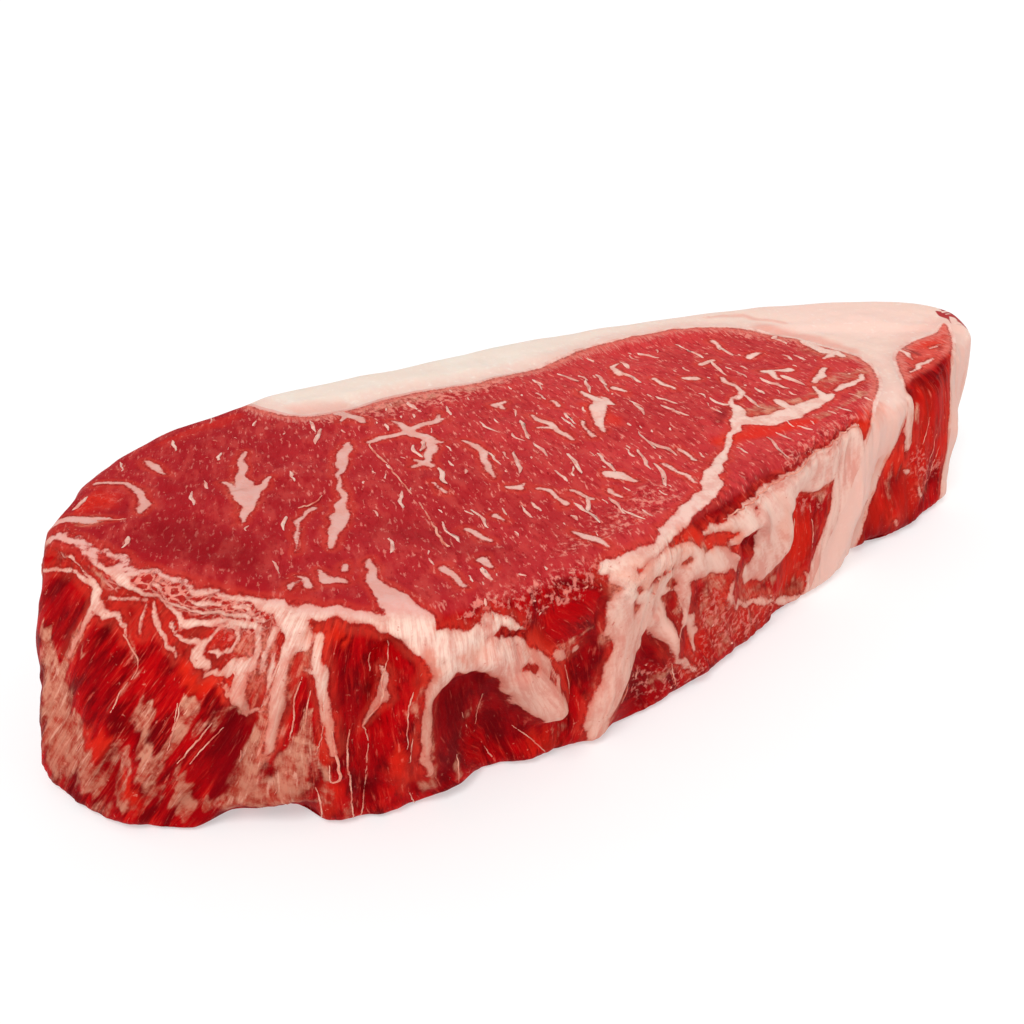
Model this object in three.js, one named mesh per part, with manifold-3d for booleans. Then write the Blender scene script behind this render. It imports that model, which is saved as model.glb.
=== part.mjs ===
// A thick-cut raw sirloin steak that lies on its lower cut face: the lean with its eye of meat, the fat
// that caps the back and wraps the tail end, and the small strip of lean inside the tail.
// Millimetres, +Z up, +X from the chine end to the tail, -Y the boned side, +Y the fat side.
import * as THREE from 'three';
import { mergeVertices } from 'three/addons/utils/BufferGeometryUtils.js';
import Module from 'manifold-3d';

const wasm = await Module();
wasm.setup();

// ---- driving dimensions ----
const CHINE_THICKNESS = 44; // the slab is cut a little thicker at the chine end
const TAIL_THICKNESS = 36;
const HALF_LENGTH = 105;
const EYE_DOME = 1.2; // the eye of meat stands up in the middle
const CAP_PROUD = 0.9; // fat shrinks less than lean, so the cap stands a little proud
const FOOT_RADIUS = 3.2; // the lower edge rolls under on the board
const TISSUE_GAP = 0.3; // between lean and fat
const RIPPLE = 0.35; // soft unevenness of the trimmed sides
const CAP_LINE = 37; // how far back the cap begins over the eye
const CAP_LINE_BEND = 0.0035; // and how it curves forward towards the tail

// The slab's outline, from the chine end round the boned side, the tail and the fat side. A row holds
// the upper edge x, y, the lower edge x, y, how far the upper edge is rounded inwards and downwards, and
// how far the side bellies out.
const STATIONS = [
  [-102, 11, -109.8, 9, 3, 4, 0.8],
  [-95, -3, -107.6, -5.2, 4, 5, 0.8],
  [-85, -16, -99.5, -17, 5, 6, 1.2],
  [-74, -28.5, -88.5, -23, 5, 6, 1],
  [-59, -37.5, -75, -28, 5, 7, 1],
  [-42, -40.5, -56, -33, 6, 8, 0],
  [-22, -37.5, -34, -32, 6, 8, 0],
  [3, -29.5, -5, -28.5, 5, 7, 0],
  [28, -19.5, 24, -18.5, 4, 6, 0],
  [52, -10.5, 50, -7.5, 4, 5, 0],
  [70, -3.5, 69, -1, 3, 5, 0],
  [88, 4.5, 87, 3, 3, 4, 0],
  [100, 13.5, 99, 13, 3, 4, 0],
  [105, 24, 104, 24, 3, 4, 0.5],
  [97.5, 35.5, 97, 35, 4, 5, 1],
  [78, 43.2, 78, 43, 4, 5, 2],
  [46, 48.5, 46, 48, 4, 5, 2.5],
  [10, 50.2, 10, 50, 4, 5, 2.5],
  [-25, 48.2, -25, 48, 4, 5, 2.5],
  [-56, 46.2, -57, 46, 4, 5, 2],
  [-78, 39.2, -81, 38.5, 4, 6, 1.5],
  [-94, 25, -98, 24.5, 3, 5, 1.5],
];

// Ridges and hollows of the boned side. Each runs between two places, given by the distance round the
// outline from the chine end and the height up the side; rise is outwards, and a hollow's is negative.
const SIDE_RELIEF = [
  { name: 'rim seam', from: [2, 46], to: [70, 45], reach: 2.6, rise: 0.7 },
  { name: 'shoulder groove', from: [3, 42], to: [44, 41], reach: 2.8, rise: -0.9 },
  { name: 'chine swell', from: [10, 30], to: [24, 20], reach: 13, rise: 1.5 },
  { name: 'chine foot swell', from: [8, 8], to: [24, 5], reach: 9, rise: 1.4 },
  { name: 'chine valley', from: [27, 24], to: [22, 9], reach: 4, rise: -1.4 },
  { name: 'middle swell', from: [35, 30], to: [29, 6], reach: 5, rise: 1.2 },
  { name: 'dark hollow', from: [45, 24], to: [41, 8], reach: 6, rise: -1.9 },
  { name: 'arch', from: [50, 0], to: [61, 1], reach: 8.5, rise: -5.5 },
  { name: 'fat pillar', from: [49, 44], to: [52, 15], reach: 4.6, rise: 1.3 },
  { name: 'fat drip', from: [55, 41], to: [66, 17], reach: 3.2, rise: 1.6 },
  { name: 'first strand', from: [60, 42], to: [71, 2], reach: 4.6, rise: 1.6 },
  { name: 'strand groove', from: [65, 41], to: [74, 10], reach: 3.2, rise: -1.5 },
  { name: 'second strand', from: [69, 39], to: [77, 3], reach: 4.8, rise: 1.8 },
  { name: 'strand border', from: [75, 36], to: [82, 8], reach: 3.6, rise: 1 },
  { name: 'deep hollow', from: [83, 27], to: [96, 8], reach: 8.5, rise: -4.2 },
  { name: 'flap root', from: [76, 39], to: [101, 17], reach: 6, rise: 1.2 },
  { name: 'fat flap', from: [84, 35.5], to: [101, 17], reach: 5, rise: 1.1 },
  { name: 'flap tip', from: [92, 28], to: [101, 17], reach: 4.5, rise: 0.9 },
  { name: 'lean behind flap', from: [93, 38], to: [104, 25], reach: 5, rise: -0.8 },
  { name: 'foot hollow', from: [88, 0], to: [99, 0], reach: 6, rise: -2 },
  { name: 'fat column', from: [108, 40], to: [114, 5], reach: 6.5, rise: 1.7 },
  { name: 'column hollow', from: [121, 22], to: [124, 7], reach: 5, rise: -1.3 },
  { name: 'silver strap', from: [121, 25], to: [138, 6], reach: 2.6, rise: 0.9 },
  { name: 'round pit', from: [143, 31], to: [145, 29], reach: 3.6, rise: -1.4 },
  { name: 'fat lobe', from: [147, 33], to: [156, 24], reach: 9, rise: 1.8 },
  { name: 'lean strip', from: [164, 28], to: [165, 6], reach: 7, rise: -1.7 },
  { name: 'fat band', from: [190, 36], to: [180, 4], reach: 9, rise: 1.4 },
  { name: 'tail groove', from: [193, 24], to: [190, 5], reach: 2.8, rise: -1.8 },
  { name: 'tail foot hollow', from: [189, 0], to: [196, 0], reach: 6, rise: -2.2 },
  { name: 'tail swell', from: [209, 28], to: [206, 8], reach: 13, rise: 2 },
];

// Borders between the tissues at the upper and the lower cut face. Both start and end outside the slab.
const CAP_SEAM = {
  upper: [
    [-60, 62], [-55, 44], [-50, 35.5], [-42, 33.5], [-28, 35.5], [-12, 34.4], [4, 36], [18, 39.5],
    [32, 40.6], [46, 39.5], [57, 33.5], [65.5, 23], [70, 11], [66, 0], [57, -10], [54, -24],
  ],
  lower: [
    [-60, 62], [-56, 43], [-50, 36], [-40, 34], [-26, 35.5], [-10, 35.5], [4, 37], [16, 38.6],
    [28, 39], [40, 37], [50, 31.5], [57, 22], [59, 11], [53, 1], [40, -11], [34, -28],
  ],
};
const TAIL_SEAM = {
  upper: [
    [66, -18], [68, -5], [72, 4], [77, 11], [84, 15], [92, 16.6], [98.4, 19.8], [97, 15], [91.5, 8.5],
    [87, 3], [88, -12],
  ],
  lower: [
    [54, -18], [57, -5], [63, 3], [70, 10], [78, 14.5], [86, 16.5], [92.5, 18], [94, 13.5], [91, 7.5],
    [89.5, 2], [92, -12],
  ],
};

// ---- mesh fineness ----
const BONED_SIDE_END = 236; // distance round the outline that shows the relief
const FINE_STEP = 2.4;
const COARSE_STEP = 5;
const SIDE_ROWS = 17;
const TOP_RINGS = 4;
const SEAM_STEPS = 44;
const OUTLINE_SAMPLES = 2200; // for measuring the distance round the outline

// A point on the closed Catmull-Rom curve through rows of numbers, at row number u.
function onLoop(rows, u) {
  const n = rows.length;
  const i = Math.floor(u);
  const t = u - i;
  const [a, b, c, d] = [-1, 0, 1, 2].map((k) => rows[(i + k + n) % n]);
  return b.map((q, k) => {
    const quadratic = 2 * a[k] - 5 * q + 4 * c[k] - d[k];
    const cubic = -a[k] + 3 * q - 3 * c[k] + d[k];
    return 0.5 * (2 * q + (c[k] - a[k]) * t + quadratic * t * t + cubic * t * t * t);
  });
}

// Height of the upper cut face.
function topHeight(x, y) {
  const along = THREE.MathUtils.clamp((x + HALF_LENGTH) / (2 * HALF_LENGTH), 0, 1);
  const taper = THREE.MathUtils.lerp(CHINE_THICKNESS, TAIL_THICKNESS, along);
  const dome = EYE_DOME * Math.exp(-((x / 70) ** 2) - ((y - 8) / 26) ** 2);
  const capLine = CAP_LINE - CAP_LINE_BEND * Math.max(x - 20, 0) ** 2;
  const cap = CAP_PROUD * THREE.MathUtils.smoothstep(y, capLine - 2, capLine + 2) * (x > -52 ? 1 : 0);
  return taper + dome + cap;
}

// Soft waves round the side, so that no face of it is perfectly smooth. They die out towards the foot.
function ripple(s, v) {
  const upright = Math.sin(s * 0.31 + v * 0.09) + Math.sin(s * 0.45 + 0.6);
  const slanting = Math.sin(s * 0.13 - v * 0.21 + 1.7);
  return RIPPLE * Math.min(1, v / 14) * (upright + slanting);
}

// How far the side stands out at a distance s round the outline and a height v up the side.
function sideRelief(s, v) {
  let out = ripple(s, v);
  for (const { from, to, reach, rise } of SIDE_RELIEF) {
    const [du, dv] = [to[0] - from[0], to[1] - from[1]];
    const passed = ((s - from[0]) * du + (v - from[1]) * dv) / (du * du + dv * dv);
    const along = THREE.MathUtils.clamp(passed, 0, 1);
    const near = Math.hypot(s - from[0] - du * along, v - from[1] - dv * along) / reach;
    if (near < 1) out += rise * (1 - near * near) ** 2;
  }
  return out;
}

// The stations of the mesh round the outline: place, outward direction and distance from the chine end.
function outlineColumns() {
  const step = STATIONS.length / OUTLINE_SAMPLES;
  const samples = Array.from({ length: OUTLINE_SAMPLES }, (_, i) => i * step);
  const places = samples.map((u) => onLoop(STATIONS, u));
  const reached = [0];
  places.forEach((p, i) => {
    const q = places[(i + 1) % places.length];
    reached.push(reached[i] + Math.hypot(q[0] - p[0], q[1] - p[1]));
  });
  const length = reached[places.length];
  const fine = Math.round(BONED_SIDE_END / FINE_STEP);
  const coarse = Math.round((length - BONED_SIDE_END) / COARSE_STEP);
  const wanted = [
    ...Array.from({ length: fine }, (_, i) => (i * BONED_SIDE_END) / fine),
    ...Array.from({ length: coarse }, (_, i) => BONED_SIDE_END + (i * (length - BONED_SIDE_END)) / coarse),
  ];
  return wanted.map((s) => {
    const at = reached.findIndex((r) => r > s) - 1;
    const u = samples[at] + ((s - reached[at]) / (reached[at + 1] - reached[at])) * step;
    const [before, after] = [onLoop(STATIONS, u - 0.02), onLoop(STATIONS, u + 0.02)];
    const run = Math.hypot(after[0] - before[0], after[1] - before[1]);
    return { s, row: onLoop(STATIONS, u), out: [(after[1] - before[1]) / run, (before[0] - after[0]) / run] };
  });
}

// The points up the side at one station, from the foot to where the upper cut face begins.
function sideProfile({ s, row, out }) {
  const [topX, topY, footX, footY, edgeIn, edgeDown, belly] = row;
  const height = topHeight(topX - out[0] * edgeIn, topY - out[1] * edgeIn);
  const bare = Array.from({ length: SIDE_ROWS + 1 }, (_, j) => {
    const even = j / SIDE_ROWS;
    const share = 0.5 * even + 0.25 - 0.25 * Math.cos(Math.PI * even);
    const z = height * share;
    const roll = 1 - Math.min(z / FOOT_RADIUS, 1);
    const bend = Math.max((z - (height - edgeDown)) / edgeDown, 0);
    const shift =
      belly * Math.sin(Math.PI * share) -
      FOOT_RADIUS * (1 - Math.sqrt(1 - roll * roll)) -
      edgeIn * (1 - Math.sqrt(Math.max(1 - bend * bend, 0)));
    return [
      footX + (topX - footX) * share + out[0] * shift,
      footY + (topY - footY) * share + out[1] * shift,
      z,
    ];
  });
  let v = 0;
  return bare.map((p, j) => {
    if (j) v += Math.hypot(p[0] - bare[j - 1][0], p[1] - bare[j - 1][1], p[2] - bare[j - 1][2]);
    const fade = THREE.MathUtils.smoothstep(SIDE_ROWS - j, -0.5, 2.5);
    const relief = fade * (s < BONED_SIDE_END ? sideRelief(s, v) : ripple(s, v));
    return [p[0] + out[0] * relief, p[1] + out[1] * relief, p[2]];
  });
}

// The whole slab as one closed surface.
function slabGeometry() {
  const columns = outlineColumns().map(sideProfile);
  const n = columns.length;
  const points = [];
  const faces = [];
  for (let j = 0; j <= SIDE_ROWS; j++) columns.forEach((c) => points.push(c[j]));
  const rim = columns.map((c) => c[SIDE_ROWS]);
  const centreY = 8;
  for (let k = 1; k <= TOP_RINGS; k++) {
    const inwards = (0.8 * k) / TOP_RINGS;
    rim.forEach(([x, y, z]) => {
      const [px, py] = [x * (1 - 0.45 * inwards), centreY + (y - centreY) * (1 - inwards)];
      const level = THREE.MathUtils.lerp(z, topHeight(px, py), Math.min(1, 2 * inwards));
      points.push([px, py, level]);
    });
  }
  for (let j = 0; j < SIDE_ROWS + TOP_RINGS; j++) {
    for (let i = 0; i < n; i++) {
      const [a, b, c, d] = [j * n + i, j * n + ((i + 1) % n), (j + 1) * n + ((i + 1) % n), (j + 1) * n + i];
      const apart = (p, q) => Math.hypot(...points[p].map((value, k) => value - points[q][k]));
      if (apart(a, c) < apart(b, d)) faces.push(a, b, c, a, c, d);
      else faces.push(a, b, d, b, c, d);
    }
  }
  const flat = (ring) => ring.map((p) => new THREE.Vector2(p[0], p[1]));
  const last = (SIDE_ROWS + TOP_RINGS) * n;
  for (const f of THREE.ShapeUtils.triangulateShape(flat(points.slice(last)), [])) {
    faces.push(f[0] + last, f[1] + last, f[2] + last);
  }
  for (const f of THREE.ShapeUtils.triangulateShape(flat(points.slice(0, n)), [])) {
    faces.push(f[0], f[2], f[1]);
  }
  return meshFrom(points, faces);
}

function meshFrom(points, faces) {
  const geometry = new THREE.BufferGeometry();
  geometry.setAttribute('position', new THREE.Float32BufferAttribute(points.flat(), 3));
  geometry.setIndex(faces);
  return geometry;
}

// A border curve moved sideways by a distance, as points.
function border(line, sideways) {
  const curve = new THREE.SplineCurve(line.map(([x, y]) => new THREE.Vector2(x, y)));
  return Array.from({ length: SEAM_STEPS + 1 }, (_, i) => {
    const at = curve.getPoint(i / SEAM_STEPS);
    const way = curve.getTangent(i / SEAM_STEPS);
    return [at.x - way.y * sideways, at.y + way.x * sideways];
  });
}

// A solid between two outlines, one above the slab and one below it, that reaches past both cut faces.
function cutter(upper, lower) {
  const n = upper.length;
  const [high, low] = [CHINE_THICKNESS + 8, -6];
  const at = (i, z) => {
    const share = z / CHINE_THICKNESS;
    return [0, 1].map((k) => THREE.MathUtils.lerp(lower[i][k], upper[i][k], share));
  };
  const points = [low, high].flatMap((z) => upper.map((_, i) => [...at(i, z), z]));
  const faces = [];
  for (let i = 0; i < n; i++) {
    const j = (i + 1) % n;
    faces.push(i, j, n + j, i, n + j, n + i);
  }
  for (const [start, flip] of [[0, true], [n, false]]) {
    const ring = points.slice(start, start + n).map((p) => new THREE.Vector2(p[0], p[1]));
    for (const f of THREE.ShapeUtils.triangulateShape(ring, [])) {
      const [a, b, c] = flip ? [f[0], f[2], f[1]] : f;
      faces.push(a + start, b + start, c + start);
    }
  }
  return solid(meshFrom(points, faces));
}

function solid(geometry) {
  const bare = new THREE.BufferGeometry().setAttribute('position', geometry.getAttribute('position'));
  bare.setIndex(geometry.getIndex());
  const merged = mergeVertices(bare, 1e-4);
  return new wasm.Manifold(
    new wasm.Mesh({
      numProp: 3,
      vertProperties: merged.attributes.position.array,
      triVerts: new Uint32Array(merged.index.array),
    }),
  );
}

// Everything on the fat side of the cap seam, drawn back from the seam by a distance.
function fatSide(back) {
  const outside = [[150, -60], [150, 90], [-60, 90]];
  return cutter(...[CAP_SEAM.upper, CAP_SEAM.lower].map((line) => [...border(line, back), ...outside]));
}

// The inside of the tail seam, drawn back from it by a distance.
function tailSide(back) {
  return cutter(...[TAIL_SEAM.upper, TAIL_SEAM.lower].map((line) => border(line, -back).reverse()));
}

function namedMesh(name, body, colour, roughness) {
  const made = body.getMesh();
  const geometry = new THREE.BufferGeometry();
  const places = new Float32Array(made.numVert * 3);
  for (let i = 0; i < made.numVert; i++) {
    places.set(made.vertProperties.subarray(i * made.numProp, i * made.numProp + 3), i * 3);
  }
  geometry.setAttribute('position', new THREE.BufferAttribute(places, 3));
  geometry.setIndex(new THREE.BufferAttribute(made.triVerts, 1));
  geometry.computeVertexNormals();
  const material = new THREE.MeshStandardMaterial({ color: colour, roughness, metalness: 0 });
  const mesh = new THREE.Mesh(geometry, material);
  mesh.name = name;
  return mesh;
}

const slab = solid(slabGeometry());
const fatAndTail = slab.intersect(fatSide(TISSUE_GAP / 2));

const steak = new THREE.Group();
steak.add(namedMesh('lean', slab.subtract(fatSide(-TISSUE_GAP / 2)), 0xae2f37, 0.45));
steak.add(namedMesh('fat_cap', fatAndTail.subtract(tailSide(-TISSUE_GAP / 2)), 0xf0d4c4, 0.5));
steak.add(namedMesh('tail_lean', fatAndTail.intersect(tailSide(TISSUE_GAP / 2)), 0x9c1420, 0.4));

// The part's origin is under the middle of the slab.
const reach = new THREE.Box3().setFromObject(steak);
const centre = reach.getCenter(new THREE.Vector3());
steak.position.set(-centre.x, -centre.y, 0);

export default steak;
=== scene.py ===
import math

import bpy
import numpy as np
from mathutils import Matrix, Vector
from mathutils.geometry import delaunay_2d_cdt
from mathutils.kdtree import KDTree


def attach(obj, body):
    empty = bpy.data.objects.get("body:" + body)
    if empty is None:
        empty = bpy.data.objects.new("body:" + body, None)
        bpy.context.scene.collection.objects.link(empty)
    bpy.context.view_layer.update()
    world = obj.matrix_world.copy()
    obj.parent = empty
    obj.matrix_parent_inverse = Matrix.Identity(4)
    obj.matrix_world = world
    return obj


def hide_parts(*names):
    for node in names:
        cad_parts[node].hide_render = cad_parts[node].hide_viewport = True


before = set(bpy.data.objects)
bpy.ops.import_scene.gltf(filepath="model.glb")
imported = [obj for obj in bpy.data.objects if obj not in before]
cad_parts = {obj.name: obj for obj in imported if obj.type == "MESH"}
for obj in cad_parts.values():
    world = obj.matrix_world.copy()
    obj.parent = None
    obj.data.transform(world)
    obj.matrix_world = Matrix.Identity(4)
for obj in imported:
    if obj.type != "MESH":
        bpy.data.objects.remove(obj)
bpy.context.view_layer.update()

# ---------------------------------------------------------------------------------------------------
# The slab. A sirloin steak is one cut through the loin: two flat faces made by the knife, and a side
# that is what the muscles were bounded by. It is sawn here as one closed body, in millimetres, and
# the lean and the fat are parted from it below, as a boning knife would part them.

MM = 0.001
CHINE_THICKNESS = 44
TAIL_THICKNESS = 36
HALF_LENGTH = 105
FOOT_RADIUS = 3.2

# From the chine end round the boned side, the tail and the fat side: upper edge x, y, lower edge x, y,
# the upper edge's rounding inwards and downwards, and the side's belly.
OUTLINE = np.array([
    [-102, 11, -109.8, 9, 3, 4, 0.8],
    [-95, -3, -107.6, -5.2, 4, 5, 0.8],
    [-85, -16, -99.5, -17, 5, 6, 1.2],
    [-74, -28.5, -88.5, -23, 5, 6, 1],
    [-59, -37.5, -75, -28, 5, 7, 1],
    [-42, -40.5, -56, -33, 6, 8, 0],
    [-22, -37.5, -34, -32, 6, 8, 0],
    [3, -29.5, -5, -28.5, 5, 7, 0],
    [28, -19.5, 24, -18.5, 4, 6, 0],
    [52, -10.5, 50, -7.5, 4, 5, 0],
    [70, -3.5, 69, -1, 3, 5, 0],
    [88, 4.5, 87, 3, 3, 4, 0],
    [100, 13.5, 99, 13, 3, 4, 0],
    [105, 24, 104, 24, 3, 4, 0.5],
    [97.5, 35.5, 97, 35, 4, 5, 1],
    [78, 43.2, 78, 43, 4, 5, 2],
    [46, 48.5, 46, 48, 4, 5, 2.5],
    [10, 50.2, 10, 50, 4, 5, 2.5],
    [-25, 48.2, -25, 48, 4, 5, 2.5],
    [-56, 46.2, -57, 46, 4, 5, 2],
    [-78, 39.2, -81, 38.5, 4, 6, 1.5],
    [-94, 25, -98, 24.5, 3, 5, 1.5],
])

# What stands out of the boned side and what is sunk in it: distance round the outline and height up
# the side at both ends, how far it reaches across, and how far it rises.
BONED_SIDE_END = 236
SIDE_FORMS = np.array([
    [2, 46, 70, 45, 2.6, 0.7],
    [3, 42, 44, 41, 2.8, -0.9],
    [10, 30, 24, 20, 13, 1.5],
    [8, 8, 24, 5, 9, 1.4],
    [27, 24, 22, 9, 4, -1.4],
    [35, 30, 29, 6, 5, 1.2],
    [45, 24, 41, 8, 6, -1.9],
    [50, 0, 61, 1, 8.5, -5.5],
    [49, 44, 52, 15, 4.6, 1.3],
    [55, 41, 66, 17, 3.2, 1.6],
    [60, 42, 71, 2, 4.6, 1.6],
    [65, 41, 74, 10, 3.2, -1.5],
    [69, 39, 77, 3, 4.8, 1.8],
    [75, 36, 82, 8, 3.6, 1],
    [83, 27, 96, 8, 8.5, -4.2],
    [76, 39, 101, 17, 6, 1.2],
    [84, 35.5, 101, 17, 5, 1.1],
    [92, 28, 101, 17, 4.5, 0.9],
    [93, 38, 104, 25, 5, -0.8],
    [88, 0, 99, 0, 6, -2],
    [108, 40, 114, 5, 6.5, 1.7],
    [121, 22, 124, 7, 5, -1.3],
    [121, 25, 138, 6, 2.6, 0.9],
    [143, 31, 145, 29, 3.6, -1.4],
    [147, 33, 156, 24, 9, 1.8],
    [164, 28, 165, 6, 7, -1.7],
    [190, 36, 180, 4, 9, 1.4],
    [193, 24, 190, 5, 2.8, -1.8],
    [189, 0, 196, 0, 6, -2.2],
    [209, 28, 206, 8, 13, 2],
])


def smooth(low, high, value):
    """0 below low, 1 above high, and an easy curve between them; low may be the greater."""
    share = np.clip((value - low) / (high - low), 0, 1)
    return share * share * (3 - 2 * share)


def between(a, b, c, d, t):
    """Points on the Catmull-Rom curve from b to c, where a comes before them and d after."""
    return 0.5 * (2 * b + (c - a) * t + (2 * a - 5 * b + 4 * c - d) * t**2 + (3 * b - a - 3 * c + d) * t**3)


def on_loop(rows, at):
    """Points on the closed curve through rows, at row numbers."""
    first = np.floor(at).astype(int)
    about = (rows[(first + k) % len(rows)] for k in (-1, 0, 1, 2))
    return between(*about, (at - first)[:, None])


def waves(points, lengths, seed, count=14):
    """A smooth uneven field from -1 to 1 or so: plane waves of about those lengths along each axis."""
    rng = np.random.default_rng(seed)
    total = np.zeros(len(points))
    for _ in range(count):
        direction = rng.normal(size=points.shape[1])
        direction *= rng.uniform(0.6, 1.5) / np.linalg.norm(direction)
        total += np.sin(2 * math.pi * (points / lengths) @ direction + rng.uniform(0, 6.28))
    return total / math.sqrt(count)


def top_height(x, y):
    """Height of the upper cut face: thicker at the chine end, domed over the eye, the fat cap proud."""
    taper = CHINE_THICKNESS + (TAIL_THICKNESS - CHINE_THICKNESS) * np.clip((x / HALF_LENGTH + 1) / 2, 0, 1)
    dome = 1.2 * np.exp(-((x / 70) ** 2) - ((y - 8) / 26) ** 2)
    cap_line = 37 - 0.0035 * np.maximum(x - 20, 0) ** 2
    return taper + dome + 0.9 * smooth(cap_line - 2, cap_line + 2, y) * smooth(-56, -50, x)


def near_stroke(u, v, ends):
    """How far each place is from the straight stroke between two ends, as a share of its reach."""
    u0, v0, u1, v1, reach = ends
    du, dv = u1 - u0, v1 - v0
    along = np.clip(((u - u0) * du + (v - v0) * dv) / (du * du + dv * dv), 0, 1)
    return np.hypot(u - u0 - du * along, v - v0 - dv * along) / reach


# The muscles run up the side, leaning towards the chine or the tail: distance round the outline, and how
# far a fibre moves round for each millimetre that it climbs.
LEANING = np.array([
    [0, 0.45], [38, 0.45], [48, 0.1], [60, -0.38], [80, -0.4], [94, -0.75], [106, -0.45], [115, -0.15],
    [124, -0.65], [150, -0.65], [162, -0.25], [176, -0.1], [192, -0.35], [226, -0.3], [240, 0], [500, 0],
])


def fibre(s, v):
    """The place at mid height, round the outline, of the fibre that passes through each place."""
    return s - np.interp(s, LEANING[:, 0], LEANING[:, 1]) * (v - 22)


def side_relief(s, v):
    """How far the side stands out of its plain form."""
    out = 0.35 * np.minimum(1, v / 14) * (
        np.sin(s * 0.31 + v * 0.09) + np.sin(s * 0.13 - v * 0.21 + 1.7) + np.sin(s * 0.45 + 0.6)
    )
    boned = (s < BONED_SIDE_END).astype(float)
    for *ends, rise in SIDE_FORMS:
        out += boned * rise * (1 - np.minimum(near_stroke(s, v, ends), 1) ** 2) ** 2
    strands = np.stack([fibre(s, v), v], 1)
    torn = 0.2 * waves(strands, np.array([4.5, 40]), 5) + 0.14 * waves(strands, np.array([2.2, 18]), 7)
    dents = 0.35 * waves(strands, np.array([26, 15]), 8) + 0.12 * waves(strands, np.array([7, 24]), 9)
    torn += 0.22 * waves(strands, np.array([10, 16]), 6)
    return out + smooth(0, 5, v) * (boned * torn + (1 - boned) * smooth(BONED_SIDE_END, 262, s) * dents)


# how far apart the points are: round the boned side, round the fat side, on the upper face and on the lower
BONED_STEP, FAT_STEP, TOP_STEP, FOOT_STEP = 0.45, 1.1, 0.64, 1.9
SIDE_ROWS = 96
WALK_STEP, TANGENT_STEP = 0.004, 0.02
samples = np.arange(0, len(OUTLINE), WALK_STEP)
walked = on_loop(OUTLINE, samples)[:, :2]
reached = np.concatenate([[0], np.cumsum(np.linalg.norm(np.roll(walked, -1, 0) - walked, axis=1))])
ROUND = reached[-1]
column_s = np.concatenate([
    np.linspace(0, BONED_SIDE_END, round(BONED_SIDE_END / BONED_STEP), endpoint=False),
    np.linspace(BONED_SIDE_END, ROUND, round((ROUND - BONED_SIDE_END) / FAT_STEP), endpoint=False),
])
column_u = np.interp(column_s, reached, np.append(samples, len(OUTLINE)))
column = on_loop(OUTLINE, column_u)
ahead = on_loop(OUTLINE, column_u + TANGENT_STEP)[:, :2]
behind = on_loop(OUTLINE, column_u - TANGENT_STEP + len(OUTLINE))[:, :2]
tangent = ahead - behind
outward = np.stack([tangent[:, 1], -tangent[:, 0]], 1) / np.linalg.norm(tangent, axis=1)[:, None]
COLUMNS = len(column_s)

even = np.linspace(0, 1, SIDE_ROWS + 1)[:, None]
share = 0.5 * even + 0.25 - 0.25 * np.cos(math.pi * even)
edge_in, edge_down, belly = column[:, 4], column[:, 5], column[:, 6]
rim_xy = column[:, :2] - outward * edge_in[:, None]
height = top_height(rim_xy[:, 0], rim_xy[:, 1])
side_z = height * share
roll = 1 - np.minimum(side_z / FOOT_RADIUS, 1)
bend = np.clip((side_z - (height - edge_down)) / edge_down, 0, 1)
shift = (
    belly * np.sin(math.pi * share)
    - FOOT_RADIUS * (1 - np.sqrt(1 - roll**2))
    - edge_in * (1 - np.sqrt(1 - bend**2))
)
base_xy = column[:, 2:4] + (column[:, :2] - column[:, 2:4]) * share[:, :, None]
side = np.dstack([base_xy + outward * shift[:, :, None], side_z])
side_v = np.vstack([np.zeros(COLUMNS), np.cumsum(np.linalg.norm(np.diff(side, axis=0), axis=2), axis=0)])
side_s = np.broadcast_to(column_s, side_v.shape)
rim_v = side_v[-1]
fade = smooth(0, 4, rim_v - side_v)
relief = side_relief(side_s.ravel(), side_v.ravel()).reshape(side_s.shape) * (0.07 + 0.93 * fade)
side[:, :, :2] += outward * relief[:, :, None]


def flat(points):
    """Points moved to height 0."""
    return np.column_stack([points[:, :2], np.zeros(len(points))])


def search_tree(points):
    """A tree that finds the nearest of the points."""
    tree = KDTree(len(points))
    for i, point in enumerate(points):
        tree.insert(point, i)
    tree.balance()
    return tree


def filled(ring, step, margin):
    """An even triangulation of the flat region inside a ring: its points, ring first, and triangles."""
    low, high = ring.min(0), ring.max(0)
    across = np.arange(low[0], high[0], step)
    rows = np.arange(low[1], high[1], step * 0.866)
    staggered = [across + (step / 2) * (k % 2) for k in range(len(rows))]
    grid = np.concatenate([np.column_stack([xs, np.full(len(xs), y)]) for xs, y in zip(staggered, rows)])
    inside = np.zeros(len(grid), bool)
    for (x0, y0), (x1, y1) in zip(ring, np.roll(ring, -1, 0)):
        if y0 != y1:
            crosses = (grid[:, 1] < max(y0, y1)) & (grid[:, 1] >= min(y0, y1))
            inside ^= crosses & (grid[:, 0] < x0 + (grid[:, 1] - y0) * (x1 - x0) / (y1 - y0))
    edge = search_tree(flat(ring))
    clear = [p for p in grid[inside] if edge.find((p[0], p[1], 0))[2] > margin]
    points = [Vector(p) for p in ring] + [Vector(p) for p in clear]
    places, _, faces, origins, _, _ = delaunay_2d_cdt(points, [], [list(range(len(ring)))], 1, 1e-5)
    order = [o[0] for o in origins]
    assert len(places) == len(points), "the ring crosses itself"
    return np.array(points), [[order[i] for i in f] for f in faces]


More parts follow.
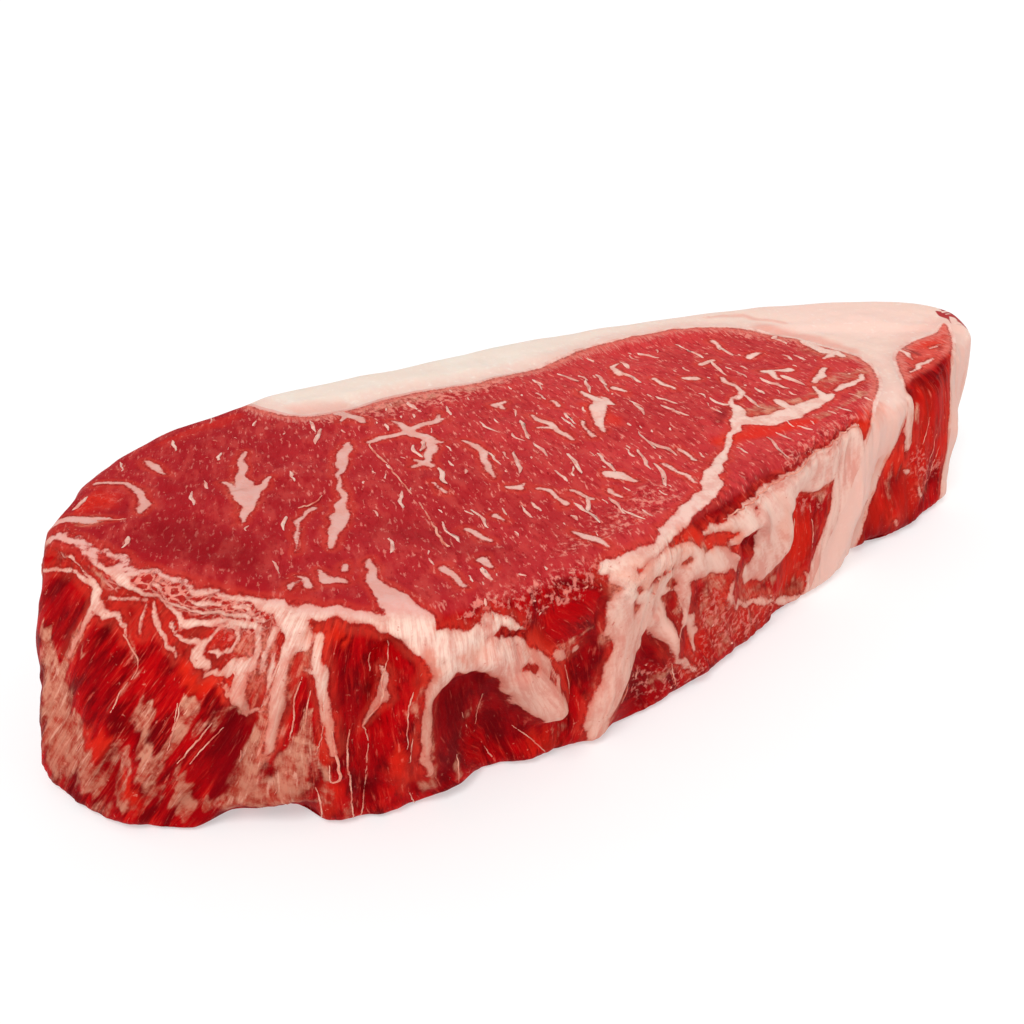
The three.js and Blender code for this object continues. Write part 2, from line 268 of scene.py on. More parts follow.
top_xy, top_faces = filled(side[-1, :, :2], TOP_STEP, 0.55 * TOP_STEP)
foot_xy, foot_faces = filled(side[0, :, :2], FOOT_STEP, 0.6 * FOOT_STEP)
inner_top, inner_foot = top_xy[COLUMNS:], foot_xy[COLUMNS:]
rim_tree = search_tree(flat(side[-1]))
nearest = [rim_tree.find((x, y, 0)) for x, y in inner_top]
nearest_i = np.array([i for _, i, _ in nearest])
nearest_far = np.array([far for _, _, far in nearest])
inner_z = top_height(inner_top[:, 0], inner_top[:, 1])
inner_z += smooth(0, 5, nearest_far) * (0.16 * waves(inner_top, 15, 1) + 0.07 * waves(inner_top, 5, 2))

# the underside has a height below 0, by which it is told from the rest, and no rim near it
UNDERSIDE_V, UNDERSIDE_RIM = -4.0, 50.0
side_count = (SIDE_ROWS + 1) * COLUMNS
slab_points = np.concatenate([
    side.reshape(-1, 3),
    np.column_stack([inner_top, inner_z]),
    np.column_stack([inner_foot, np.zeros(len(inner_foot))]),
])
slab_s = np.concatenate([side_s.ravel(), column_s[nearest_i], np.zeros(len(inner_foot))])
below_v, below_rim = (np.full(len(inner_foot), value) for value in (UNDERSIDE_V, UNDERSIDE_RIM))
slab_v = np.concatenate([side_v.ravel(), rim_v[nearest_i] + nearest_far, below_v])
slab_rim = np.concatenate([np.tile(rim_v, SIDE_ROWS + 1), rim_v[nearest_i], below_rim])
corner = np.arange(SIDE_ROWS * COLUMNS).reshape(SIDE_ROWS, COLUMNS)
beside = np.roll(corner, -1, 1)
slab_faces = np.stack([corner, beside, beside + COLUMNS, corner + COLUMNS], 2).reshape(-1, 4).tolist()
last_row = SIDE_ROWS * COLUMNS
slab_faces += [[i + last_row if i < COLUMNS else i - COLUMNS + side_count for i in f] for f in top_faces]
foot_start = side_count + len(inner_top)
slab_faces += [[i if i < COLUMNS else i - COLUMNS + foot_start for i in reversed(f)] for f in foot_faces]

low, high = slab_points.min(0), slab_points.max(0)
CENTRE = np.array([(low[0] + high[0]) / 2, (low[1] + high[1]) / 2, 0])


# ---------------------------------------------------------------------------------------------------
# The fat in the meat. Marbling is laid down between the bundles of muscle, so on a cut face it shows
# as short dashes along the grain and as branching veins, and on the boned side as sheets and strings
# that the knife has torn along. Each vein is a row of points: x, y and half the vein's width there.

CUT_VEINS = [
    # the small round muscle at the chine end
    [(-91, 23.6, 0.4), (-88.6, 23.4, 0.5), (-86, 21.6, 0.5), (-84.7, 17, 0.7), (-85.3, 13, 0.9),
     (-87, 10.4, 0.5)],
    [(-101.4, 15.4, 0.6), (-97, 13, 0.8), (-94.4, 11.4, 1.0), (-91.6, 10.4, 0.5)],
    [(-102.6, 12, 0.5), (-100, 8.4, 0.6), (-97, 4.4, 0.4), (-94.4, -1.4, 0.4)],
    [(-80.4, 28.6, 0.5), (-79.6, 25.6, 0.8), (-78.8, 22.6, 0.4)],
    # wide branching vein, and the long thin one beside it
    [(-63.6, 24.5, 0.4), (-65.7, 19.4, 0.7), (-67.6, 14.4, 1.3), (-68.4, 9.3, 2.1),
     (-70.1, 4.3, 1.3), (-72.7, 0.5, 0.4)],
    [(-63.2, 12.6, 0.5), (-65.6, 10.4, 1.0), (-68, 8, 1.0)], [(-70.6, 15, 0.5), (-70.2, 10, 0.9)],
    [(-44.9, 20, 0.4), (-47.7, 15.6, 1.1), (-50, 11.8, 1.0), (-51.9, 8, 0.5), (-54.4, 0.5, 0.7)],
    [(-54.4, 0.5, 0.7), (-56.9, -4.6, 1.5), (-59.4, -8.3, 1.4), (-62.3, -13.4, 0.6)],
    [(-60.3, 0, 0.6), (-64.5, -3.9, 0.4), (-66.4, -8.3, 0.45), (-67.9, -12.6, 0.3)],
    # veins towards the shoulder
    [(-73.3, -22.9, 0.3), (-72, -21.4, 0.5)], [(-70.6, -19.4, 0.5), (-70, -22.6, 0.9)],
    [(-67, -19.6, 0.4), (-66.4, -23, 0.9), (-64.6, -24, 0.6)],
    [(-62.6, -19.8, 0.6), (-63.4, -21.6, 0.5)],
    [(-58.4, -20, 0.4), (-60.7, -26, 1.1), (-59.7, -32.3, 2.4), (-58.2, -38, 2.9)],
    [(-48.7, -27.3, 0.8), (-48, -33, 0.6)], [(-42, -27.6, 1.0), (-41.6, -30, 0.6)],
    # star of veins under the cap
    [(-41.4, 32.6, 1.3), (-40.2, 29.4, 1.1), (-38.8, 26.4, 0.6)], [(-40, 30, 0.9), (-43, 28.6, 0.4)],
    [(-41.4, 18.6, 0.6), (-37.3, 18.4, 0.7), (-33.6, 18.2, 0.9), (-29.8, 20, 0.7),
     (-26, 20.7, 0.7), (-24.8, 23.6, 0.4)],
    [(-26, 20.7, 0.6), (-24.6, 20.4, 0.4)], [(-34, 24.4, 0.4), (-33.4, 21, 0.8), (-33, 17, 1.2)],
    [(-33, 17, 1.2), (-31, 13, 1.2), (-33.2, 9.6, 0.9), (-35.6, 6.4, 0.7), (-38.6, 5.4, 0.4)],
    [(-31.4, 14, 0.9), (-29.8, 12, 0.6)], [(-37.4, 8, 0.4), (-35.4, 4.4, 0.6)],
    [(-25.6, 10.8, 0.4), (-24.4, 5.5, 1.0), (-26.4, 0.5, 0.6), (-27.9, -4.8, 0.3)],
    [(-38.2, -1.4, 0.4), (-37.8, -5, 0.4)], [(-39.9, -17.8, 0.7), (-38.2, -22.4, 0.5)],
    [(-33.4, -15.6, 0.6), (-32.8, -18, 0.4)],
    [(-27, -8.4, 0.5), (-25.2, -9.4, 0.8), (-24.2, -8.6, 0.4)],
    [(-21.8, -10.6, 0.5), (-20.6, -14, 0.7), (-20.6, -17.4, 0.6)],
    [(-17.2, -13.6, 0.5), (-15.3, -17.4, 0.6)], [(-24, -26, 0.5), (-22, -29.4, 0.9), (-20.8, -32, 0.5)],
    # middle of the eye
    [(-9.4, 15, 0.4), (-8.4, 10.4, 0.9), (-7.4, 3, 0.5)], [(-10.8, 9, 0.4), (-8.6, 8, 0.7)],
    [(-13.8, 22, 0.6), (-11, 22.8, 0.5)], [(-12.8, 20.6, 0.7), (-12.4, 22.4, 0.5)],
    [(-2.8, 19, 0.4), (-2.6, 16.4, 0.6)],
    [(4.8, 20.6, 0.5), (6.2, 15.4, 1.2), (3.6, 11.7, 1.7), (1.4, 8, 1.0), (-0.4, 3.4, 0.4)],
    [(7.8, 17.4, 0.5), (7.2, 13.4, 0.8), (6, 15, 1)], [(11.8, 20, 0.7), (13, 17, 0.6)],
    [(-8.4, -11, 0.8), (-6.4, -12.6, 1.3), (-5, -15, 0.5)], [(-10.8, -16.6, 0.6), (-10.2, -19, 0.4)],
    [(3, -12, 0.4), (3.6, -16, 0.5), (5, -20, 0.5)], [(9.2, -8, 0.5), (9.4, -13, 0.5)],
    [(-2, 9, 0.5), (-3.2, 2, 0.4)], [(19.4, 30, 0.4), (17.6, 28.8, 0.7), (16.4, 24.7, 0.6)],
    [(21.6, 19.6, 0.6), (22.7, 14.4, 0.6)], [(27.6, 17.4, 0.7), (29.6, 16.6, 0.9)],
    [(35, 22.3, 0.7), (38.4, 23, 0.6)], [(44.6, 32.4, 0.5), (43.7, 28, 0.6)],
    [(46.6, 21.8, 0.9), (49.4, 22.2, 0.6)], [(35, 15, 0.5), (34.4, 7.6, 0.7), (31.8, 5, 0.6)],
    [(44.6, 13.4, 0.9), (50.4, 12.6, 0.9)], [(45, 13, 0.9), (45, 10, 0.6)],
    [(60, 29.6, 0.4), (57.4, 28.4, 0.7)], [(62.6, 24, 1.0), (63.6, 18.4, 1.7), (65.4, 14.6, 1.2)],
    [(60, 14.4, 0.5), (64, 16, 0.9)],
    # the tail
    [(72.6, 1.4, 0.3), (77, 3.8, 0.7), (82.4, 5.8, 0.4)],
    [(78.6, 12.8, 0.5), (79, 10, 0.7), (77.8, 7, 0.3)],
    [(85.6, 10.6, 0.2), (87.8, 10.2, 0.3), (89.4, 10.8, 0.2)],
    # the great vein by the boned side and its branches
    [(31, 6, 0.4), (29.4, 3.6, 0.7), (28.2, -0.6, 1.4), (26, -3.4, 1.8)],
    [(38.2, 1.6, 0.6), (38.8, -2.6, 1.3)],
    [(26, -4, 1.8), (31.8, -5.2, 2.1), (37.5, -4.8, 2.1), (43.2, -2.8, 1.8), (47.7, -2, 1.3),
     (50.6, -0.6, 0.7)],
    [(49.4, 3.2, 0.6), (48, -1.4, 1.0)], [(51, 5.4, 0.7), (54, 7.4, 0.9), (57.4, 10.6, 0.6)],
    [(52.6, 1, 0.5), (58, 2, 0.8), (63, 4.6, 0.5)],
    [(25, -4.6, 1.2), (21.6, -7, 0.7), (17.6, -11.2, 0.7), (13.6, -14.8, 1.1), (9, -19, 1.6)],
    [(9, -19, 1.6), (6.4, -22.6, 1.8), (2.2, -25.3, 1.5), (-4.6, -28.7, 1.2), (-9, -31, 1.0)],
]

# The same on the side: distance round the outline, height up the side and half the width.
SIDE_VEINS = [
    # two seams along the shoulder, and the torn net between them
    [(0, 46, 0.45), (3, 46.9, 0.5), (8, 46.4, 0.4), (14, 46, 0.4), (16.6, 46.2, 0.9),
     (18.4, 45, 1.3), (20, 43.8, 0.7)],
    [(0, 47.8, 0.3), (6, 48.3, 0.35), (13, 47.8, 0.3), (19, 47.2, 0.4)],
    [(0, 39.3, 0.4), (3, 41, 0.4), (7, 41.9, 0.4), (14, 41.2, 0.7)],
    [(18.6, 46.6, 0.7), (22, 47.2, 0.4), (28, 47.3, 0.4), (34, 46.9, 0.4), (40, 46.4, 0.5),
     (44, 46.8, 0.9)],
    [(44, 46.6, 1.0), (47, 45.6, 1.7), (50, 44, 2.0), (51.4, 41.4, 1.4)],
    [(48, 46.6, 1.1), (56, 47.4, 0.9), (60, 46.8, 0.8), (64, 45.8, 1.1)],
    [(64, 45.8, 1.1), (68, 44.4, 1.9), (72, 42.6, 2.4), (76, 40.6, 2.6), (79, 38.8, 2.4)],
    [(4, 44.4, 0.25), (8, 44.1, 0.3), (12.4, 41.8, 0.5)],
    [(13, 41, 0.7), (14.6, 39.6, 1.1), (16.4, 38.8, 0.6), (18.6, 38.8, 0.6), (19.6, 37, 0.6),
     (20.6, 35.2, 0.4)],
    [(14.4, 39.4, 0.8), (13.2, 36.4, 0.5), (12, 33.6, 0.5), (10.6, 31, 0.5), (9.4, 28.4, 0.4)],
    [(16, 41, 0.3), (19, 41.6, 0.3), (22, 41.8, 0.3)],
    [(19.6, 44.2, 0.7), (22, 43.2, 0.6), (25, 43.3, 0.5), (28, 42.2, 0.6), (30.4, 40.8, 0.6),
     (33, 40.6, 0.7), (36, 41.6, 0.7), (43.6, 42.6, 0.9)],
    [(24, 45.4, 0.4), (27.6, 43.6, 0.5), (32, 43, 0.4), (36, 43.6, 0.5), (41, 43.8, 0.6)],
    [(31, 40, 0.3), (34.4, 40.9, 0.35), (38.4, 41.5, 0.3)],
    [(24, 41.4, 0.5), (25.6, 39.4, 0.6), (27, 38, 0.5), (29, 36.2, 0.5), (30.6, 34.4, 0.35)],
    [(22, 40.8, 0.25), (23, 38.4, 0.4), (23.6, 36.4, 0.3)],
    [(31, 45.6, 0.35), (33.4, 45, 0.6), (35.6, 45.4, 0.4)],
    [(38, 45.4, 0.3), (42, 44.8, 0.4), (44, 44.2, 0.5)],
    [(28.4, 39.6, 0.5), (31, 38.5, 0.5), (33, 37.7, 0.5), (35, 38, 0.5)],
    [(35.2, 38.4, 0.7), (34.6, 36.4, 0.9), (35, 35, 0.9), (37, 34.4, 0.6)],
    [(35.6, 38.6, 0.4), (36.8, 40.4, 0.5), (39, 41, 0.5), (40.6, 40, 0.5), (40.4, 38, 0.5),
     (38.4, 36.6, 0.5), (36.6, 37, 0.4)],
    [(37.6, 33.2, 0.5), (40, 34, 1.0), (42.4, 35.2, 1.6), (44.2, 36.6, 1.2)],
    [(40, 31.6, 0.3), (42, 31.4, 0.5), (43.4, 31, 0.6)],
    [(43.6, 34, 1.4), (44.4, 30.6, 1.4), (45.2, 27.4, 0.9), (46, 25, 0.4)],
    [(46.2, 26.6, 0.4), (47.4, 29, 0.5), (49, 29.2, 0.4)],
    [(43, 43, 0.8), (44.6, 40.6, 0.8), (44.4, 38, 0.7)],
    [(46.4, 43, 0.7), (46, 39, 0.5), (46.6, 35, 0.4)],
    # fat between the muscles at the corner
    [(50, 43, 1.3), (49.6, 39, 1.1), (50.4, 34, 1.2), (51.4, 29, 1.4), (52, 24, 1.2), (52.4, 20, 0.7)],
    [(48, 40, 0.5), (48, 35, 0.6), (49, 31, 0.5)],
    [(53.4, 43.6, 0.8), (54.8, 40, 1.2), (56.6, 36.6, 1.2), (58, 33.4, 1.0), (60, 29.4, 0.8),
     (62, 25.4, 0.65), (63.8, 21.6, 0.5)],
    [(53.8, 37.6, 0.4), (55, 38.6, 0.9), (57.6, 36, 0.6)],
    [(66.2, 37.6, 0.4), (67.2, 34.4, 0.7), (68, 31, 0.8), (67.8, 28.6, 0.7), (67, 26, 0.5)],
    [(70, 42, 0.7), (73, 39, 1.1), (74.6, 36, 1.2), (75.2, 32, 1.3), (75.8, 28, 1.0),
     (77, 23, 0.9), (78.8, 17, 0.8), (81, 11, 0.5)],
    [(76, 40, 2.4), (76, 36.4, 2.0), (76.6, 32.6, 0.9)],
    # the loose flap
    [(77, 38.6, 2.4), (80.4, 36.8, 3.4), (84, 34.8, 3.2), (88, 31.4, 3.0), (92, 27, 3.0),
     (96, 22, 2.8), (99.6, 18, 2.4)],
    [(99.6, 18, 2.4), (102, 14.8, 1.3)],
    [(84, 38.4, 0.8), (88, 36, 0.8), (92, 32, 0.8), (96, 28, 0.9), (98.6, 23.6, 0.9)],
    [(79.6, 43.6, 0.8), (83, 41.8, 1.1), (87, 39.6, 0.6)], [(78, 42, 1.2), (82, 41, 1.2)],
    [(97, 30, 0.5), (98.6, 29, 0.7), (100.6, 27.4, 0.4)], [(102.6, 28.6, 0.4), (103.6, 26.8, 0.5)],
    # the column of fat, and the fat that runs on from it
    [(103.6, 43, 1.2), (108, 42.6, 1.2), (113, 42.2, 1.3), (118, 42.2, 1.2), (122, 42.6, 1.0),
     (128, 43.6, 0.7), (135, 43.8, 0.4)],
    [(107, 40, 2.6), (109.6, 36, 3.6), (112, 31, 4.2), (114.4, 26, 4.9), (115.4, 20, 4.7),
     (113.8, 14, 4.2), (113, 9, 2.9)],
    [(112.8, 9, 2.6), (114, 4, 1.9)], [(105.6, 41, 1.4), (106.6, 35, 1.2), (108, 30, 1.0)],
    [(118.4, 27, 1.4), (119, 22, 0.8), (117.6, 18, 0.7)],
    [(112, 38, 3.2), (117, 36, 5), (122, 34.4, 5), (127, 33, 3.6)],
    [(133, 31.4, 2.6), (137, 29.6, 2.0), (141, 27.6, 1.0)],
    [(112, 38, 3.2), (118, 37, 3.4), (123, 35, 3.0), (128, 32.4, 2.4), (133, 30.6, 2.1),
     (138, 28.2, 1.5), (141, 26.4, 0.8)],
    [(116.6, 33, 3.4), (118.8, 28, 2.6), (121.8, 24, 2.1), (124.6, 20.6, 1.6), (126.4, 18, 1.0),
     (127.4, 15, 0.6), (130, 12.2, 0.6), (133, 10, 0.5)],
    [(133, 10, 0.5), (135.6, 6.6, 0.5)], [(126, 18, 0.6), (129, 20.4, 0.6), (131, 19.8, 0.6)],
    [(124, 31.4, 1.6), (126.6, 29, 1.2), (127.8, 25, 1.1), (128.6, 22, 1.0), (131, 19.8, 0.9),
     (133, 17, 0.8), (134, 14.4, 0.7), (135.4, 11.6, 0.5)],
    [(139.6, 23.6, 0.5), (140.6, 20, 0.5), (141.6, 17, 0.4)],
    [(140.6, 20.4, 0.5), (143, 17.6, 0.6), (146, 15.4, 0.6), (150, 13.4, 0.6), (154, 11.8, 0.6),
     (158, 10, 0.5)],
    # the crease and the lobe under it
    [(129, 38.7, 0.4), (133, 38, 0.9), (137, 37, 1.6), (141, 35.8, 2.4)],
    [(138, 38.3, 0.9), (146, 38.6, 0.8), (155, 38.4, 0.7), (164, 38.5, 0.8), (180, 38.2, 0.5)],
    [(141, 35, 1.6), (146, 35, 3.2), (152, 34, 4.4), (160, 35.4, 3.0), (168, 34.8, 3.2),
     (176, 34, 4.0)],
    [(149, 32, 3.2), (151.2, 28, 5.2), (152.4, 24, 4.8), (153.2, 20, 3.4)],
    [(146.6, 22.6, 1.4), (149.6, 20.4, 2.2)], [(138, 33, 1.0), (141, 33.4, 1.0)],
    [(159.6, 33, 1.6), (164, 31.8, 1.6), (168, 31, 2.2), (172, 31, 1.8)],
    [(178, 34, 4.8), (179.4, 28, 6.0), (179, 20, 5.0), (178, 12, 5.4), (176.4, 4, 5.0)],
    [(163, 6.6, 0.6), (167, 4.4, 0.9), (172, 2, 1.2)], [(170, 9.6, 0.5), (173.6, 6, 1.2)],
    # the far side, past the end of the cap
    [(416, 44, 1.8), (417.6, 36, 0.8), (416.6, 24, 1.6), (418, 12, 0.9), (417, 3, 1.6)],
    [(431, 36, 0.4), (434, 27, 0.8), (433, 17, 0.4)],
    [(444, 40, 0.6), (446.6, 34, 0.9), (446, 24, 0.5), (449, 14, 0.8), (448, 7, 0.4)],
    [(418, 30, 0.8), (423, 27, 0.5), (428, 29, 0.3)], [(462, 32, 0.4), (465, 22, 0.8), (464, 12, 0.5)],
    [(470, 43, 0.5), (474, 39, 0.7), (479, 37.6, 0.4)], [(418, 9, 0.7), (425, 6, 0.4)],
    # the dark lean of the tail
    [(202.6, 19.6, 0.5), (204.2, 18.4, 0.9)], [(191.6, 24, 0.5), (192.4, 21, 0.8), (193.4, 18, 0.4)],
    [(208, 13.6, 0.5), (210, 11, 0.6)],
    [(198, 38.6, 1.5), (199, 35.4, 2.2), (199.4, 32, 2.4), (200.6, 28.8, 1.5), (202, 26, 0.6)],
    [(198.4, 28.4, 0.3), (201.6, 25.4, 0.3)], [(201.6, 8, 0.4), (203, 6, 0.4)],
]

# Lean that shows through a gap in the fat: on the side only.
PORES = [
    [(90.4, 30.8, 0.5), (92.4, 29.4, 0.6)], [(103.6, 37.6, 0.7), (105.2, 34.8, 0.6)],
    [(104.8, 40, 0.6), (105.6, 39, 0.5)], [(111, 34.4, 0.35), (113, 31.6, 0.45)],
    [(115, 36, 0.5), (116.6, 35.4, 0.5)], [(117.8, 36.2, 0.4), (118.6, 35.6, 0.4)],
    [(122.4, 32.4, 0.7), (124.4, 30.4, 0.7)], [(125.4, 34.6, 0.5), (126.4, 33.8, 0.5)],
    [(121.4, 35.4, 0.3), (122.4, 34.6, 0.3)],
    [(141.6, 31.6, 1.2), (143.8, 30.6, 1.9), (145.4, 28.6, 1.4)], [(84, 24.6, 0.3), (85, 24, 0.3)],
    [(110.6, 37.6, 0.35), (112, 36, 0.35)], [(160.6, 30.8, 0.8), (160.8, 27, 0.7)],
    [(96.4, 27, 0.25), (98, 25, 0.25)], [(44.8, 41.6, 0.5), (45.6, 40, 0.5)],
    [(39, 36.4, 0.5), (41.4, 36.8, 0.4)], [(48.4, 40.4, 0.4), (48.8, 38.4, 0.4)],
]

# Places where the lean is veiled with a thin smear of fat, is painted dark as shade in its hollows,
# glows because it is thin, or is strewn with crumbs of fat: how much, then the soft stroke that it covers.
SMEARS = [
    # the shoulder
    (0.85, [(3.4, 31, 1.2), (5, 26, 2.6), (6.4, 20, 4.6), (8, 15, 5.6), (11, 11, 5.2)]),
    (0.8, [(12, 16.6, 3.2), (15.6, 13.6, 3.8), (18.4, 10, 3.2), (19.4, 7.6, 1.4)]),
    (0.85, [(12.6, 34.6, 0.9), (10.6, 30.4, 1.2), (8.6, 26, 1.5), (7, 23, 2)]),
    (0.4, [(2, 12, 2.4), (3, 5, 2)]), (0.5, [(11.6, 8, 1.6), (9.4, 3, 2.2)]),
    (0.45, [(24, 5, 2), (20, 1.6, 2.4)]), (0.55, [(22.6, 14.6, 1.5), (20.6, 11, 1.6)]),
    (0.45, [(22, 14, 0.8), (24.6, 16.6, 1), (27, 15, 1.4)]),
    (0.85, [(27.4, 25, 1.4), (28, 22, 2.3), (29, 19, 1.6)]),
    (0.75, [(30.4, 18, 1.6), (31.6, 13.6, 2.1), (32.6, 10, 1.4)]),
    (0.75, [(25.4, 14.4, 1), (26, 10, 1.6), (27.4, 6.4, 1)]),
    (0.8, [(36.4, 28.6, 1), (35.4, 23, 1.5), (33.4, 17.6, 1.1)]),
    (0.8, [(37, 13, 1.2), (38, 9, 2), (39.4, 5.4, 1.4)]), (0.5, [(28.6, 8, 2), (34, 9.4, 1.2)]),
    (0.55, [(42.6, 27, 1.4), (40.4, 25, 1.2), (38.6, 22.4, 0.8)]),
    (0.4, [(21.8, 35, 0.7), (23.6, 31, 0.8), (22.4, 25, 0.6)]),
    (0.4, [(14, 32.6, 0.7), (14.4, 31, 0.6)]), (0.7, [(37, 43.6, 1.5), (41, 41, 2.2), (42, 38, 1.6)]),
    (0.8, [(45, 42, 1.6), (46.6, 37, 1.8), (45.6, 31, 1.6), (44.8, 27, 1)]),
    (0.4, [(26, 45, 0.8), (32, 43.8, 1), (38, 44.4, 1)]), (0.5, [(12, 44.6, 1.2), (16, 42.6, 1.4)]),
    # round the corner and over the hollow at the foot
    (0.9, [(50, 40, 1.4), (50.6, 30, 1.9), (51, 22, 2.4), (50.4, 15, 2.7), (49.6, 10, 2.4)]),
    (0.75, [(50, 12, 3), (53.4, 10, 3.2), (57, 12.6, 3.4)]),
    (0.8, [(56.4, 29, 0.8), (57.4, 22, 1.8), (58, 15, 3.2), (61, 11, 3)]),
    (0.7, [(44, 7.6, 1.2), (49, 7.4, 1.8), (56, 8, 2.2), (62, 9.4, 2), (64.4, 7, 1.2)]),
    (0.6, [(53, 40, 1), (53, 33, 0.8)]), (0.5, [(60.4, 22, 1.4), (62.4, 17, 1.2)]),
    (0.6, [(63.6, 18, 1), (66, 12, 0.9), (68, 4, 0.8)]),
    (0.5, [(73, 38.6, 1.4), (73.4, 32, 1), (73.6, 28, 0.6)]), (0.5, [(69.4, 12, 0.6), (72, 3, 0.6)]),
    (0.5, [(77.4, 24, 1), (80.6, 13, 1), (83, 6, 0.8)]),
    # the hollow, the flap and the column
    (0.4, [(86.6, 21, 0.8), (87.6, 15, 1)]), (0.5, [(86.6, 11, 0.7), (88, 7, 0.8)]),
    (0.35, [(90, 20, 0.9), (91.6, 15, 0.8)]), (0.6, [(98.4, 30.6, 1.2), (102, 28, 1.2)]),
    (0.5, [(100, 31.4, 0.8), (103.6, 32.6, 1)]), (0.5, [(104.6, 12, 0.8), (107, 6, 0.8)]),
    (0.9, [(107, 39, 3), (116, 37.4, 4.6), (126, 34, 4)]), (0.9, [(112, 30, 5), (119, 30, 3.6)]),
    (0.7, [(114.4, 18, 4.6), (114.8, 8, 3.4)]),
    (0.85, [(126, 37.4, 1.6), (131, 34, 2), (137, 31, 2.4)]), (0.6, [(127, 29, 1.4), (126, 25, 1.2)]),
    (0.6, [(134, 28, 2.2), (137, 23, 2.4), (140, 16, 2.2)]), (0.5, [(131, 10, 1.6), (127, 10, 1.8)]),
    (0.55, [(144, 23, 2.4), (150, 15, 2.2), (157, 11, 1.8)]), (0.6, [(141, 12, 1.6), (145, 7, 1.6)]),
    (0.55, [(136, 20, 3), (144, 10, 4), (153, 8, 3.4)]),
    (0.4, [(163, 27, 2), (166, 20, 4), (165, 12, 4.4)]),
    (0.85, [(160.6, 34, 2), (166, 31.6, 2.4), (171, 29, 2)]),
    (0.35, [(166, 24, 3), (169, 18, 3.4), (167, 11, 3)]), (0.5, [(157, 17, 2.4), (159, 22, 1.4)]),
    (0.7, [(163, 8, 1.8), (168, 6, 2.4), (172, 5, 2)]),
    # the far side
    (0.9, [(419, 42, 2.6), (421, 26, 4), (420, 6, 4)]),
    (0.6, [(428, 34, 4), (434, 20, 5), (430, 8, 4)]), (0.5, [(447, 34, 3), (449, 12, 4)]),
    (0.45, [(462, 28, 4), (467, 12, 4)]), (0.4, [(474, 36, 3), (477, 26, 3)]),
    # the tail
    (0.8, [(203, 33.6, 1.6), (203.6, 32, 1.4)]), (0.5, [(205.6, 30, 0.6), (206, 26, 0.6)]),
    (0.6, [(190.6, 24, 1), (193, 18.6, 1.6)]), (0.4, [(198, 22, 1.6), (201, 12, 2)]),
    (0.5, [(207, 17, 1.6), (210.6, 11, 1.6)]), (0.4, [(213, 12, 2.4), (216.6, 10, 1.6)]),
]
# painted shade: the hollows of the side, under the flap and beneath the creases, darkened in the colour
SHADED_HOLLOWS = [
    (1, [(44, 25, 3.4), (45.6, 17, 4.6), (45, 11, 3)]), (0.5, [(39.6, 16, 2), (40.6, 12, 1.4)]),
    (0.9, [(26.4, 20, 1.2), (27, 18.4, 0.9)]), (0.9, [(53.4, 15.6, 0.7), (54.4, 13.6, 0.9)]),
    (0.8, [(80, 30, 4), (83, 22, 5), (85, 12, 4)]), (0.7, [(87, 27, 3), (93, 20, 3.4), (99, 11, 4)]),
    (1, [(79, 31, 1.6), (84, 29.6, 1.4), (90, 23.6, 1.2), (96, 17, 1.2)]),
    (0.7, [(84, 38.2, 0.7), (88, 38.8, 0.7)]), (0.7, [(103.6, 38, 1), (105, 35, 1.4)]),
    (0.5, [(105.6, 28, 2), (107.6, 20, 2.4)]), (0.6, [(121, 20, 2.6), (124, 12, 3), (127, 6, 3)]),
    (0.5, [(123, 28, 1.8), (126.4, 23.6, 1.8)]), (0.7, [(130, 19, 1.4), (132, 14.6, 1.4)]),
    (0.9, [(142.4, 31.4, 1), (145.4, 30.6, 1.4), (146.8, 28.6, 1)]),
    (1, [(160.6, 31, 0.9), (161.4, 27, 1.2), (161.4, 23, 0.8)]),
    (0.5, [(169, 23, 1.4), (172, 15, 1.2)]), (0.7, [(131.6, 24.4, 1.2), (133, 22.6, 1)]),
    (1, [(194.6, 14, 1), (195.6, 8, 2.2), (200, 3, 3)]),
    (0.7, [(201.6, 17, 2), (205.6, 11, 2.4), (206, 5, 3)]),
    (1, [(189.6, 22.4, 0.9), (190.6, 20.8, 0.8)]), (1, [(199, 28.8, 0.9), (200.6, 27.2, 1)]),
    (1, [(200.6, 38, 1), (203, 36.4, 1.4)]), (0.6, [(205, 38, 1.2), (212, 38, 1.4), (220, 37.4, 1.2)]),
    (0.6, [(213, 9, 2.4), (218, 11, 1.4)]), (0.5, [(5, 38, 3), (8.6, 33, 3), (6, 30, 1.6)]),
    (0.5, [(15, 31, 3), (19, 24, 3.4)]), (0.5, [(22.6, 13, 2), (24, 6, 2.6)]),
    (0.5, [(34, 8, 2.2), (36, 4, 2)]), (0.6, [(59, 42, 1.6), (60.6, 33, 2)]),
    (0.5, [(63, 34, 2), (65, 27, 1.6)]), (1, [(241, 39, 1.2), (246, 39.4, 1.6), (250, 39.2, 1.2)]),
    (0.5, [(70, 20, 1.6), (73, 8, 2)]), (0.9, [(60, 6.6, 1.6), (65, 6, 1.6), (66.6, 2, 1.4)]),
    (0.7, [(42, 5.6, 1.4), (48, 6, 1), (54, 7, 0.8)]), (0.6, [(1, 20, 1.6), (1.6, 8, 2.4)]),
    (0.5, [(12.6, 6, 2), (16, 5.6, 1.6)]), (0.5, [(78, 20, 1.6), (82, 8, 1.6)]),
    (0.6, [(127.6, 42, 2), (136, 41, 1), (150, 41, 1)]),
    (0.8, [(130, 39.7, 0.4), (150, 39.8, 0.4), (182, 39.7, 0.4)]), (0.6, [(108, 24, 1), (109, 16, 1)]),
]
